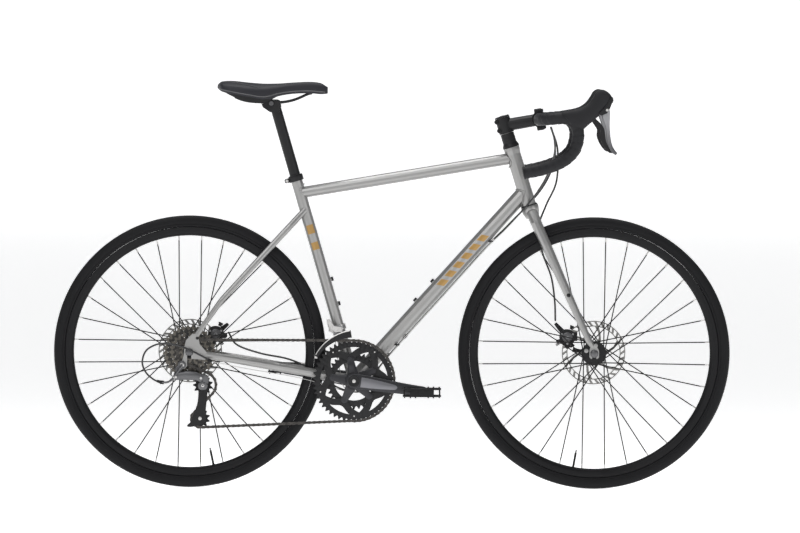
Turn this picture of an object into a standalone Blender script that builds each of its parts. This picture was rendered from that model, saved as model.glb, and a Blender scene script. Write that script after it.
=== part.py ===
"""A road bicycle with disc brakes, as an assembly of separate pieces.

Metres. +X is forward, +Y is the rider's left, +Z is up, and the tyres stand on Z = 0 with the
origin midway between the axles. The chain side is at -Y.
"""

import math

import bmesh
import bpy
from mathutils import Matrix, Vector

# Driving dimensions
TYRE_RADIUS = 0.341
TYRE_WIDTH = 0.030
WHEELBASE = 1.014
HEAD_TOP = Vector((0.2975, 0, 0.8558))
HEAD_BOTTOM = Vector((0.3423, 0, 0.7125))
BB_DROP = 0.071
BB_X = -0.0945
SEAT_TUBE_TOP = Vector((-0.2437, 0, 0.7806))
CRANK_LENGTH = 0.172
CRANK_SLOPE = math.radians(-8.5)
BAR_WIDTH = 0.420
GAP = 0.0003

# Tubes
SEAT_TUBE_RADIUS = 0.0143
SEATPOST_RADIUS = 0.0136
TOP_TUBE_RADIUS = 0.0143
DOWN_TUBE_RADIUS = 0.019
HEAD_TUBE_RADIUS = 0.0185
STEERER_RADIUS = 0.0143
TUBE_SIDES = 16

# Wheels and hubs
RIM_OUTER = 0.317
RIM_INNER = 0.2905
RIM_HALF_WIDTH = 0.0115
SPOKE_RADIUS = 0.0009
SPOKES_PER_SIDE = 16
SPOKE_SWEEP = math.radians(67.5)
FRONT_HALF_SPACING = 0.050
REAR_HALF_SPACING = 0.0675
ROTOR_RADIUS = 0.080
FRONT_ROTOR_Y = 0.040
REAR_ROTOR_Y = 0.052

# Drivetrain
LINK_PITCH = 0.0127
OUTER_TEETH = 50
INNER_TEETH = 34
DRIVEN_TEETH = 15
PULLEY_TEETH = 11
OUTER_RING_Y = -0.0465
INNER_RING_Y = -0.0395
DRIVEN_COG_Y = -0.0565
COG_PITCH = 0.0035
COG_HALF = 0.0009
COG_TEETH = (11, 13, 15, 17, 20, 23, 26, 30, 34)

FRONT_AXLE = Vector((WHEELBASE / 2, 0, TYRE_RADIUS))
REAR_AXLE = Vector((-WHEELBASE / 2, 0, TYRE_RADIUS))
BB = Vector((BB_X, 0, TYRE_RADIUS - BB_DROP))
HEAD_AXIS = (HEAD_TOP - HEAD_BOTTOM).normalized()
SEAT_AXIS = (SEAT_TUBE_TOP - BB).normalized()
SIDE = Vector((0, 1, 0))
RIGHT = -1
LEFT = 1

BODIES = {}


def pitch_radius(teeth):
    return LINK_PITCH / (2 * math.sin(math.pi / teeth))


# Materials


def material(name, colour, roughness, metallic=0.0):
    made = bpy.data.materials.new(name)
    made.use_nodes = True
    shader = made.node_tree.nodes["Principled BSDF"]
    shader.inputs["Base Color"].default_value = (*colour, 1)
    shader.inputs["Roughness"].default_value = roughness
    shader.inputs["Metallic"].default_value = metallic
    return made


def clear_scene():
    for old in list(bpy.data.objects):
        bpy.data.objects.remove(old)


clear_scene()
SILVER = material("silver_paint", (0.48, 0.47, 0.45), 0.35, 0.7)
BLACK_METAL = material("black_anodised", (0.02, 0.02, 0.022), 0.4, 0.6)
GREY_METAL = material("grey_anodised", (0.12, 0.12, 0.13), 0.4, 0.7)
STEEL = material("bright_steel", (0.55, 0.55, 0.55), 0.3, 1.0)
CHAIN_STEEL = material("chain_steel", (0.18, 0.17, 0.15), 0.4, 1.0)
RUBBER = material("tyre_rubber", (0.02, 0.02, 0.021), 0.75)
PLASTIC = material("black_plastic", (0.025, 0.025, 0.027), 0.5)
TAPE = material("bar_tape", (0.03, 0.03, 0.032), 0.65)
COVER = material("saddle_cover", (0.045, 0.045, 0.05), 0.55)


# Building blocks


def body(name, point, parent=None):
    """An empty on a joint's axis, which carries the pieces that turn or slide with it."""
    holder = bpy.data.objects.new(name + "_axis", None)
    bpy.context.scene.collection.objects.link(holder)
    holder.location = point
    BODIES[name] = (holder, Matrix.Translation(point))
    if parent:
        above, matrix = BODIES[parent]
        holder.parent = above
        holder.matrix_parent_inverse = matrix.inverted()
    return holder


def piece(name, mesh, look, rides=None, cutter=False):
    obj = bpy.data.objects.new(name, mesh)
    bpy.context.scene.collection.objects.link(obj)
    mesh.materials.append(look)
    mesh.shade_smooth()
    mesh.set_sharp_from_angle(angle=math.radians(35))
    if cutter:
        obj.hide_render = True
        obj.display_type = "WIRE"
    if rides:
        holder, matrix = BODIES[rides]
        obj.parent = holder
        obj.matrix_parent_inverse = matrix.inverted()
    return obj


def finish_mesh(name, bm):
    bmesh.ops.remove_doubles(bm, verts=bm.verts, dist=1e-6)
    bmesh.ops.recalc_face_normals(bm, faces=bm.faces)
    mesh = bpy.data.meshes.new(name)
    bm.to_mesh(mesh)
    bm.free()
    return mesh


def boolean(obj, mesh, operation, name="tool"):
    """Joins a closed mesh to a piece, or cuts it away."""
    tool = piece(f"{obj.name}_{name}", mesh, obj.data.materials[0], cutter=True)
    step = obj.modifiers.new(name, "BOOLEAN")
    step.object = tool
    step.operation = operation
    step.solver = "EXACT"
    return obj


def cut(obj, mesh, name="cut"):
    return boolean(obj, mesh, "DIFFERENCE", name)


def join(obj, mesh, name="join"):
    return boolean(obj, mesh, "UNION", name)


def loft(rings, name="loft", closed=False):
    """Skins equal rings of points in order. An open run is capped at both ends."""
    bm = bmesh.new()
    made = [[bm.verts.new(p) for p in ring] for ring in rings]
    count = len(rings[0])
    pairs = list(zip(made, made[1:]))
    if closed:
        pairs.append((made[-1], made[0]))
    else:
        bm.faces.new(made[0])
        bm.faces.new(made[-1])
    for one, other in pairs:
        for i in range(count):
            k = (i + 1) % count
            bm.faces.new((one[i], one[k], other[k], other[i]))
    return finish_mesh(name, bm)


def turned(profile, centre, axis, sides=24, name="turned"):
    """Turns a closed outline of (radius, distance along the axis) round the axis."""
    axis = Vector(axis).normalized()
    up = Vector((0, 0, 1)) if abs(axis.z) < 0.8 else Vector((1, 0, 0))
    u = (up - axis * up.dot(axis)).normalized()
    v = axis.cross(u)
    rings = []
    for i in range(sides):
        angle = 2 * math.pi * i / sides
        out = u * math.cos(angle) + v * math.sin(angle)
        rings.append([Vector(centre) + out * r + axis * a for r, a in profile])
    return loft(rings, name, closed=True)


def rod(start, end, radius, end_radius=None, sides=TUBE_SIDES, flat=1.0, name="rod"):
    """A straight round bar, which may taper, and may be flattened sideways by flat."""
    start, end = Vector(start), Vector(end)
    end_radius = radius if end_radius is None else end_radius
    return oval_sweep([start, end], [radius * flat, end_radius * flat],
                      [radius, end_radius], sides, name)


def oval_sweep(points, half_widths, half_heights, sides=TUBE_SIDES, name="sweep"):
    """An oval bar along points: half_widths run across the bicycle, half_heights upright."""
    points = [Vector(p) for p in points]
    rings = []
    for i, point in enumerate(points):
        along = (points[min(i + 1, len(points) - 1)] - points[max(i - 1, 0)]).normalized()
        side = SIDE if abs(along.dot(SIDE)) < 0.9 else Vector((1, 0, 0))
        side = (side - along * side.dot(along)).normalized()
        upright = along.cross(side)
        ring = []
        for k in range(sides):
            angle = 2 * math.pi * (k + 0.5) / sides
            ring.append(point + side * math.cos(angle) * half_widths[i]
                        + upright * math.sin(angle) * half_heights[i])
        rings.append(ring)
    return loft(rings, name)


def carried_frames(points):
    """Directions across a path, carried along it without twist."""
    points = [Vector(p) for p in points]
    last = len(points) - 1
    tangents = [(points[min(i + 1, last)] - points[max(i - 1, 0)]).normalized()
                for i in range(last + 1)]
    across = tangents[0].orthogonal().normalized()
    frames = []
    for tangent in tangents:
        across = (across - tangent * across.dot(tangent)).normalized()
        frames.append((across, tangent.cross(across)))
    return frames


def circle_rings(points, radii, sides):
    rings = []
    for point, radius, (u, v) in zip(points, radii, carried_frames(points)):
        angles = [2 * math.pi * k / sides for k in range(sides)]
        rings.append([Vector(point) + (u * math.cos(a) + v * math.sin(a)) * radius
                      for a in angles])
    return rings


def swept(points, radius, sides=12, name="swept"):
    radii = radius if isinstance(radius, (list, tuple)) else [radius] * len(points)
    return loft(circle_rings(points, radii, sides), name)


def sleeve(points, outer, inner, sides=12, name="sleeve"):
    """A pipe with an open bore along a path."""
    outside = circle_rings(points, [outer] * len(points), sides)
    inside = circle_rings(points, [inner] * len(points), sides)
    return loft(outside + inside[::-1], name, closed=True)


def plate(outline, y0, y1, name="plate"):
    """An upright plate: an (x, z) outline between two distances across the bicycle."""
    return loft([[Vector((x, y, z)) for x, z in outline] for y in (y0, y1)], name)


def box(low, high, name="box"):
    outline = [(low[0], low[2]), (high[0], low[2]), (high[0], high[2]), (low[0], high[2])]
    return plate(outline, low[1], high[1], name)


def smooth_path(points, steps):
    """A smooth curve through the points, as Catmull-Rom spans of a few steps each."""
    points = [Vector(p) for p in points]
    whole = [points[0] * 2 - points[1], *points, points[-1] * 2 - points[-2]]
    path = []
    for a, b, c, d in zip(whole, whole[1:], whole[2:], whole[3:]):
        for step in range(steps):
            t = step / steps
            path.append(0.5 * (2 * b + (c - a) * t + (2 * a - 5 * b + 4 * c - d) * t * t
                               + (3 * b - a - 3 * c + d) * t ** 3))
    path.append(points[-1])
    return path


def circle(centre, radius, sides, start=0.0):
    """An (x, z) circle."""
    angles = [start + 2 * math.pi * i / sides for i in range(sides)]
    return [(centre[0] + radius * math.cos(a), centre[1] + radius * math.sin(a))
            for a in angles]


def housing(name, points, radius, steps=5, rides=None):
    """A cable housing: a curve object with a round bevel along a smooth path."""
    curve = bpy.data.curves.new(name, "CURVE")
    curve.dimensions = "3D"
    path = smooth_path(points, steps)
    spline = curve.splines.new("POLY")
    spline.points.add(len(path) - 1)
    for place, point in zip(spline.points, path):
        place.co = (*point, 1)
    curve.bevel_depth = radius
    curve.bevel_resolution = 2
    curve.use_fill_caps = True
    curve.materials.append(PLASTIC)
    obj = bpy.data.objects.new(name, curve)
    bpy.context.scene.collection.objects.link(obj)
    if rides:
        holder, matrix = BODIES[rides]
        obj.parent = holder
        obj.matrix_parent_inverse = matrix.inverted()
    return obj


# Bodies: each empty stands on the axis that its pieces turn or slide on

STEM_REACH = Vector((0.3683, 0, 0.927))
BAR_CLAMP = STEM_REACH
HOOD_PIVOT = Vector((0.515, 0, 0.9465))
SWING_PIVOT = Vector((0.505, 0, 0.930))
PEDAL_Y = 0.128
CRANK_FORWARD = Vector((math.cos(CRANK_SLOPE), 0, math.sin(CRANK_SLOPE)))
PEDAL_RIGHT = BB + CRANK_FORWARD * CRANK_LENGTH + SIDE * -PEDAL_Y
PEDAL_LEFT = BB - CRANK_FORWARD * CRANK_LENGTH + SIDE * PEDAL_Y
SHIFT_TOP = Vector((-0.5390, -0.084, 0.2775))
SHIFT_REACH = Vector((0.062, 0, -0.002))
KNUCKLE = SHIFT_TOP + SHIFT_REACH
INNER_LINK_OFFSET = Vector((0, 0.012, 0))
GUIDE_PULLEY = Vector((-0.4720, DRIVEN_COG_Y, 0.2580))
TENSION_PULLEY = Vector((-0.4790, DRIVEN_COG_Y, 0.1745))
FRONT_CALIPER = FRONT_AXLE + Vector((-0.066, 0, 0.038))
REAR_CALIPER = REAR_AXLE + Vector((0.064, 0, 0.042))
QR_CAP = 0.0135


def make_bodies():
    body("frame", (0, 0, 0))
    body("steering", HEAD_BOTTOM, "frame")
    body("front_wheel", FRONT_AXLE, "steering")
    body("rear_wheel", REAR_AXLE, "frame")
    body("cassette", REAR_AXLE + SIDE * DRIVEN_COG_Y, "frame")
    body("crankset", BB, "frame")
    body("pedal_right", PEDAL_RIGHT, "crankset")
    body("pedal_left", PEDAL_LEFT, "crankset")
    body("seatpost", SEAT_TUBE_TOP, "frame")
    for word, sign in (("right", RIGHT), ("left", LEFT)):
        hood = SIDE * sign * BAR_WIDTH / 2
        body(f"brake_lever_{word}", HOOD_PIVOT + hood, "steering")
        body(f"shift_paddle_{word}", SWING_PIVOT + hood, f"brake_lever_{word}")
    body("front_caliper_arm", FRONT_CALIPER + SIDE * 0.060, "steering")
    body("rear_caliper_arm", REAR_CALIPER + SIDE * 0.072, "frame")
    body("front_qr", FRONT_AXLE + SIDE * (FRONT_HALF_SPACING + 0.0060 + QR_CAP), "steering")
    body("rear_qr", REAR_AXLE + SIDE * (REAR_HALF_SPACING + DROPOUT_PLATE + QR_CAP), "frame")
    body("rear_derailleur_outer_link", SHIFT_TOP, "frame")
    body("rear_derailleur_inner_link", SHIFT_TOP + INNER_LINK_OFFSET, "frame")
    body("rear_derailleur_knuckle", KNUCKLE, "rear_derailleur_outer_link")
    body("rear_derailleur_cage", GUIDE_PULLEY, "rear_derailleur_knuckle")
    body("guide_pulley", GUIDE_PULLEY, "rear_derailleur_cage")
    body("tension_pulley", TENSION_PULLEY, "rear_derailleur_cage")
    body("front_derailleur_cage", BB + Vector((-0.04, OUTER_RING_Y, 0.12)), "frame")


# Frame

BB_SHELL_RADIUS = 0.0215
BB_SHELL_HALF = 0.034
DOWN_TUBE_START = Vector((0.3318, 0, 0.7458))
TOP_TUBE_REAR = Vector((-0.2338, 0, 0.7394))
TOP_TUBE_FRONT = Vector((0.3057, 0, 0.8299))
SEATPOST_BOTTOM = SEAT_TUBE_TOP - SEAT_AXIS * 0.110
SEATPOST_TOP = SEAT_TUBE_TOP + SEAT_AXIS * 0.183
DROPOUT_THICK = 0.006
DROPOUT_PLATE = 0.0065


def frame_tubes():
    seat = rod(BB + SEAT_AXIS * (BB_SHELL_RADIUS - 0.004), SEAT_TUBE_TOP, SEAT_TUBE_RADIUS)
    seat = piece("seat_tube", seat, SILVER, "frame")
    cut(seat, turned([(BB_SHELL_RADIUS + GAP, -0.04), (0, -0.04), (0, 0.04),
                      (BB_SHELL_RADIUS + GAP, 0.04)], BB, SIDE, 32), "shell")
    bore = rod(SEATPOST_BOTTOM - SEAT_AXIS * 0.066, SEAT_TUBE_TOP + SEAT_AXIS * 0.01,
               SEATPOST_RADIUS + 0.0001, sides=TUBE_SIDES)
    cut(seat, bore, "bore")

    head = turned([(HEAD_TUBE_RADIUS, 0.0), (STEERER_RADIUS + 0.0008, 0.0),
                   (STEERER_RADIUS + 0.0008, 0.150), (HEAD_TUBE_RADIUS + 0.0015, 0.150),
                   (HEAD_TUBE_RADIUS + 0.0015, 0.143), (HEAD_TUBE_RADIUS, 0.132)],
                  HEAD_BOTTOM, HEAD_AXIS, TUBE_SIDES)
    piece("head_tube", head, SILVER, "frame")

    head_space = rod(HEAD_BOTTOM - HEAD_AXIS * 0.05, HEAD_TOP + HEAD_AXIS * 0.05,
                     HEAD_TUBE_RADIUS + 0.0018, sides=32)
    seat_space = rod(BB, SEAT_TUBE_TOP + SEAT_AXIS * 0.05, SEAT_TUBE_RADIUS + GAP, sides=32)
    top = piece("top_tube", rod(TOP_TUBE_REAR, TOP_TUBE_FRONT, TOP_TUBE_RADIUS), SILVER,
                "frame")
    cut(top, head_space, "head")
    cut(top, seat_space, "seat")

    down = oval_sweep([DOWN_TUBE_START, BB], [DOWN_TUBE_RADIUS] * 2, [DOWN_TUBE_RADIUS] * 2)
    down = piece("down_tube", down, SILVER, "frame")
    cut(down, head_space.copy(), "head")
    cut(down, seat_space.copy(), "seat")
    cut(down, turned([(BB_SHELL_RADIUS + GAP, -0.04), (0, -0.04), (0, 0.04),
                      (BB_SHELL_RADIUS + GAP, 0.04)], BB, SIDE, 32), "shell")

    shell = turned([(BB_SHELL_RADIUS, -BB_SHELL_HALF), (0.0185, -BB_SHELL_HALF),
                    (0.0185, BB_SHELL_HALF), (BB_SHELL_RADIUS, BB_SHELL_HALF)], BB, SIDE, 24)
    piece("bottom_bracket_shell", shell, SILVER, "frame")
    # Both bearing cups and the sleeve between them, which screw in as one cartridge
    edge = BB_SHELL_HALF + GAP
    half = [(0.0205, edge + 0.0065), (0.0215, edge), (0.0185 - GAP, edge),
            (0.0185 - GAP, edge - 0.012), (0.0150, edge - 0.012)]
    profile = half + [(r, -a) for r, a in half[::-1]]
    profile += [(0.0126, -edge - 0.0065), (0.0126, edge + 0.0065)]
    piece("bottom_bracket_cartridge", turned(profile, BB, SIDE, 16), BLACK_METAL, "frame")

    collar_low = SEAT_TUBE_TOP - SEAT_AXIS * 0.012
    tube_bore = SEAT_TUBE_RADIUS / math.cos(math.pi / TUBE_SIDES) + GAP
    post_bore = SEATPOST_RADIUS / math.cos(math.pi / TUBE_SIDES) + GAP
    collar = turned([(0.0182, 0), (tube_bore, 0), (tube_bore, 0.0125), (post_bore, 0.0125),
                     (post_bore, 0.016), (0.0182, 0.016)], collar_low, SEAT_AXIS, TUBE_SIDES)
    collar = piece("seat_collar", collar, BLACK_METAL, "frame")
    back = Vector((-SEAT_AXIS.z, 0, SEAT_AXIS.x))
    corners = [collar_low + back * a + SEAT_AXIS * b
               for a, b in ((0.0165, 0.002), (0.0300, 0.002), (0.0300, 0.012), (0.0165, 0.012))]
    ear = plate([(p.x, p.z) for p in corners], -0.007, 0.007)
    join(collar, ear, "ear")


def stay_path(points, sign):
    return [Vector((x, y * sign, z)) for x, y, z in points]


def rear_stays(word, sign):
    """The chainstay, seatstay and dropout plate of one side, welded into one piece."""
    outer = REAR_HALF_SPACING + DROPOUT_PLATE
    plate_y = sorted((sign * REAR_HALF_SPACING, sign * outer))
    x, z = REAR_AXLE.x, REAR_AXLE.z
    outline = [(x - 0.013, z - 0.006), (x - 0.012, z + 0.014), (x - 0.008, z + 0.030),
               (x + 0.008, z + 0.046), (x + 0.021, z + 0.044), (x + 0.026, z + 0.020),
               (x + 0.044, z - 0.001), (x + 0.040, z - 0.020), (x + 0.022, z - 0.018),
               (x + 0.006, z - 0.017), (x - 0.006, z - 0.016)]
    if sign == RIGHT:
        hanger = [(x - 0.021, z - 0.030), (x - 0.022, z - 0.040), (x - 0.012, z - 0.042),
                  (x - 0.004, z - 0.034)]
        outline = [(x - 0.014, z - 0.010), *outline[1:-1], *hanger[::-1]]
    look = SILVER
    stays = piece(f"rear_stays_{word}", plate(outline, *plate_y), look, "frame")
    chainstay = [(BB.x - 0.012, 0.0215, BB.z + 0.002), (-0.150, 0.0245, 0.279),
                 (-0.215, 0.0285, 0.292), (-0.330, 0.0470, 0.312), (-0.420, 0.0620, 0.327),
                 (x + 0.030, 0.0705, z - 0.006)]
    widths = [0.0085, 0.0075, 0.0072, 0.0085, 0.0075, 0.0032]
    heights = [0.0125, 0.0120, 0.0115, 0.0110, 0.0100, 0.0090]
    join(stays, oval_sweep(stay_path(chainstay, sign), widths, heights, 14), "chainstay")
    seatstay = [(-0.2180, 0.0105, 0.6985), (-0.2560, 0.0225, 0.6570), (-0.335, 0.038, 0.5710),
                (-0.428, 0.0560, 0.4690), (x + 0.012, 0.0705, z + 0.034)]
    widths = [0.0065, 0.0070, 0.0070, 0.0068, 0.0032]
    heights = [0.0080, 0.0080, 0.0078, 0.0072, 0.0065]
    join(stays, oval_sweep(stay_path(seatstay, sign), widths, heights, 12), "seatstay")
    cut(stays, turned([(BB_SHELL_RADIUS + GAP, -0.05), (0, -0.05), (0, 0.05),
                       (BB_SHELL_RADIUS + GAP, 0.05)], BB, SIDE, 32), "shell")
    cut(stays, rod(BB, SEAT_TUBE_TOP + SEAT_AXIS * 0.05, SEAT_TUBE_RADIUS + GAP, sides=32),
        "seat")
    low = (x - 0.0052, plate_y[0] - 0.001, z - 0.06)
    cut(stays, box(low, (x + 0.0052, plate_y[1] + 0.001, z + 0.0052)), "slot")
    return stays


# Steering

CROWN = HEAD_BOTTOM - HEAD_AXIS * 0.0185
STEM_CENTRE = HEAD_TOP + HEAD_AXIS * 0.058
STEM_HALF = 0.020
BLADE_SIDES = 10


def fork():
    path = []
    radii = []
    for x, y, z, r in ((0.5045, 0.0530, 0.3560, 0.0055), (0.4950, 0.0525, 0.3700, 0.0080),
                       (0.4360, 0.0470, 0.4990, 0.0105), (0.3850, 0.0395, 0.6130, 0.0128),
                       (0.3600, 0.0330, 0.6680, 0.0140), (0.3515, 0.0200, 0.6880, 0.0145)):
        path.append((x, y, z))
        radii.append(r)
    right = [(x, -y, z) for x, y, z in path]
    whole = right + [tuple(CROWN)] + path[::-1]
    obj = piece("fork", swept(whole, radii + [0.0150] + radii[::-1], BLADE_SIDES), SILVER,
                "steering")
    join(obj, rod(CROWN, STEM_CENTRE + HEAD_AXIS * (STEM_HALF - 0.003), STEERER_RADIUS,
                  sides=TUBE_SIDES), "steerer")
    join(obj, rod(CROWN, HEAD_BOTTOM - HEAD_AXIS * 0.0025, 0.0195, sides=TUBE_SIDES), "race")
    x, z = FRONT_AXLE.x, FRONT_AXLE.z
    for word, sign in (("right", RIGHT), ("left", LEFT)):
        ends = sorted((sign * FRONT_HALF_SPACING, sign * (FRONT_HALF_SPACING + 0.006)))
        outline = [(x - 0.012, z - 0.009), (x - 0.012, z + 0.006), (x - 0.009, z + 0.021),
                   (x + 0.004, z + 0.022), (x + 0.012, z + 0.007), (x + 0.012, z - 0.009),
                   (x + 0.008, z - 0.013), (x - 0.008, z - 0.013)]
        join(obj, plate(outline, *ends), f"end_{word}")
        low = (x - 0.0052, ends[0] - 0.004, z - 0.05)
        cut(obj, box(low, (x + 0.0052, ends[1] + 0.004, z + 0.0052)), f"slot_{word}")
    return obj


def headset_and_stem():
    base = 0.150 + GAP
    spacers = turned([(0.0205, base), (STEERER_RADIUS + GAP, base),
                      (STEERER_RADIUS + GAP, base + 0.037), (0.0172, base + 0.037),
                      (0.0172, base + 0.012), (0.0205, base + 0.006)],
                     HEAD_BOTTOM, HEAD_AXIS, TUBE_SIDES)
    piece("headset_spacers", spacers, BLACK_METAL, "steering")

    stem = rod(STEM_CENTRE - HEAD_AXIS * STEM_HALF, STEM_CENTRE + HEAD_AXIS * STEM_HALF,
               0.0190, sides=TUBE_SIDES)
    stem = piece("stem", stem, BLACK_METAL, "steering")
    reach = (BAR_CLAMP - STEM_CENTRE).normalized()
    join(stem, oval_sweep([STEM_CENTRE, BAR_CLAMP - reach * 0.010], [0.0165, 0.0175],
                          [0.0160, 0.0155], 16), "arm")
    up = Vector((-reach.z, 0, reach.x))
    clamp = turned([(0.0205, -0.021), (0, -0.021), (0, 0.021), (0.0205, 0.021)],
                   BAR_CLAMP, SIDE, 28)
    join(stem, clamp, "clamp")
    front = BAR_CLAMP + reach * 0.0008
    far = 0.03
    corners = [front - up * far, front + up * far, front + up * far + reach * far,
               front - up * far + reach * far]
    cut(stem, plate([(p.x, p.z) for p in corners], -0.03, 0.03), "split")
    cut(stem, rod(STEM_CENTRE - HEAD_AXIS * 0.03, STEM_CENTRE + HEAD_AXIS * (STEM_HALF - 0.002),
                  STEERER_RADIUS + GAP, sides=TUBE_SIDES), "steerer_bore")
    bar_bore = [(0.0159 + GAP, -0.03), (0, -0.03), (0, 0.03), (0.0159 + GAP, 0.03)]
    cut(stem, turned(bar_bore, BAR_CLAMP, SIDE, 28), "bar_bore")

    face = turned([(0.0205, -0.021), (0, -0.021), (0, 0.021), (0.0205, 0.021)],
                  BAR_CLAMP, SIDE, 28)
    face = piece("stem_faceplate", face, BLACK_METAL, "steering")
    back = BAR_CLAMP + reach * 0.0024
    corners = [back - up * far, back - up * far - reach * far * 2,
               back + up * far - reach * far * 2, back + up * far]
    cut(face, plate([(p.x, p.z) for p in corners], -0.03, 0.03), "split")
    cut(face, turned(bar_bore, BAR_CLAMP, SIDE, 28), "bar_bore")


BAR_RADIUS = 0.0119
TAPE_RADIUS = 0.0160
BAR_SIDES = 10
DROP_POINTS = ((0.3683, 0.075, 0.9270), (0.3690, 0.130, 0.9270), (0.3785, 0.172, 0.9280),
               (0.4030, 0.197, 0.9300), (0.4290, 0.206, 0.9310), (0.4510, 0.209, 0.9200),
               (0.4615, 0.210, 0.8930), (0.4540, 0.210, 0.8550), (0.4310, 0.210, 0.8290),
               (0.4000, 0.210, 0.8125), (0.3640, 0.210, 0.8015), (0.3270, 0.210, 0.7945))



def drop_path(sign, steps=1):
    return [Vector((p.x, p.y * sign, p.z)) for p in smooth_path(DROP_POINTS, steps)]


def handlebar():
    right, left = drop_path(RIGHT), drop_path(LEFT)
    middle = [Vector((0.3683, y, 0.927)) for y in (-0.062, -0.045, -0.036, 0.036, 0.045, 0.062)]
    path = right[::-1] + middle + left
    radii = [BAR_RADIUS] * len(right) + [0.0125, 0.0150, 0.0159, 0.0159, 0.0150, 0.0125]
    radii += [BAR_RADIUS] * len(left)
    piece("handlebar", swept(path, radii, BAR_SIDES), BLACK_METAL, "steering")
    bore = BAR_RADIUS / math.cos(math.pi / BAR_SIDES) + GAP
    for word, path in (("right", right), ("left", left)):
        tape = sleeve(path, TAPE_RADIUS, bore, BAR_SIDES)
        piece(f"bar_tape_{word}", tape, TAPE, "steering")


def hood(word, sign):
    """The rubber-covered lever body, from the front of the bar to its raised nose."""
    y = sign * BAR_WIDTH / 2
    rows = ((0.4560, 0.9160, 0.0120, 0.0130), (0.4720, 0.9280, 0.0175, 0.0240),
            (0.4920, 0.9440, 0.0178, 0.0235), (0.5100, 0.9620, 0.0175, 0.0240),
            (0.5220, 0.9770, 0.0160, 0.0215), (0.5320, 0.9880, 0.0120, 0.0130))
    points = [(x, y, z) for x, z, _, _ in rows]
    obj = oval_sweep(points, [row[2] for row in rows], [row[3] for row in rows], 12)
    obj = piece(f"hood_{word}", obj, PLASTIC, "steering")
    cut(obj, box((0.4860, y - 0.0115, 0.8800), (0.5800, y + 0.0115, 0.9600)), "lever_slot")
    tape = swept(drop_path(sign), TAPE_RADIUS + 2 * GAP, 10)
    cut(obj, tape, "bar")
    return obj


def levers(word, sign):
    """The brake lever blade, and the smaller shift paddle behind it."""
    y = sign * BAR_WIDTH / 2
    rows = ((0.5150, 0.9465, 0.0075, 0.0060), (0.5270, 0.9440, 0.0085, 0.0080),
            (0.5320, 0.9280, 0.0085, 0.0060), (0.5330, 0.9020, 0.0080, 0.0048),
            (0.5370, 0.8760, 0.0075, 0.0045), (0.5450, 0.8560, 0.0065, 0.0038),
            (0.5560, 0.8440, 0.0050, 0.0030))
    blade = oval_sweep([(x, y, z) for x, z, _, _ in rows], [row[2] for row in rows],
                       [row[3] for row in rows], 10)
    blade = piece(f"brake_lever_{word}", blade, GREY_METAL, f"brake_lever_{word}")
    rows = ((0.5050, 0.9300), (0.5180, 0.9180), (0.5225, 0.9050), (0.5250, 0.8920),
            (0.5275, 0.8720), (0.5390, 0.8510), (0.5340, 0.8480), (0.5245, 0.8600),
            (0.5135, 0.8880), (0.5150, 0.9000), (0.5090, 0.9120), (0.5010, 0.9250))
    inner = y - sign * 0.002
    paddle = plate(rows, *sorted((inner - sign * 0.004, inner)))
    piece(f"shift_paddle_{word}", paddle, BLACK_METAL, f"shift_paddle_{word}")
    return blade


# Wheels

WHEEL_SIDES = 36
FLANGE_RADIUS = 0.0290
SPOKE_END = RIM_INNER * math.cos(math.pi / WHEEL_SIDES) - 2 * GAP
FLANGE_HALF = 0.0026
AXLE_RADIUS = 0.0045
AXLE_BORE = 0.0030


def tyre(name, centre, rides):
    middle = TYRE_RADIUS - TYRE_WIDTH / 2
    angles = [math.radians(a) for a in (-130, -90, -45, 0, 45, 90, 130)]
    profile = [(middle + TYRE_WIDTH / 2 * math.cos(a), TYRE_WIDTH / 2 * math.sin(a))
               for a in angles]
    profile += [(RIM_OUTER + GAP, 0.0095), (RIM_OUTER + GAP, -0.0095)]
    profile[0] = (RIM_OUTER + 0.0012, -0.0128)
    profile[6] = (RIM_OUTER + 0.0012, 0.0128)
    piece(name, turned(profile, centre, SIDE, WHEEL_SIDES), RUBBER, rides)


def rim(name, centre, rides):
    half = RIM_HALF_WIDTH
    profile = [(RIM_OUTER, -half), (RIM_OUTER, half), (RIM_OUTER - 0.012, half),
               (RIM_INNER, 0.0045), (RIM_INNER, -0.0045), (RIM_OUTER - 0.012, -half)]
    piece(name, turned(profile, centre, SIDE, WHEEL_SIDES), BLACK_METAL, rides)


def spokes(centre, flange_y, turn):
    """Sixteen spokes of one side, laced over three crossings, as one mesh of separate bars."""
    bm = bmesh.new()
    for i in range(SPOKES_PER_SIDE):
        lean = 1 if i % 2 else -1
        at_hub = turn + 2 * math.pi * i / SPOKES_PER_SIDE
        at_rim = at_hub + lean * SPOKE_SWEEP
        y = flange_y + lean * 0.0017
        start = centre + Vector((math.cos(at_hub), 0, math.sin(at_hub))) * 0.0252
        end = centre + Vector((math.cos(at_rim), 0, math.sin(at_rim))) * SPOKE_END
        start.y, end.y = y, math.copysign(0.003, flange_y)
        bar = rod(start, end, SPOKE_RADIUS, sides=4)
        bm.from_mesh(bar)
        bpy.data.meshes.remove(bar)
    return finish_mesh("spokes", bm)


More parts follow.
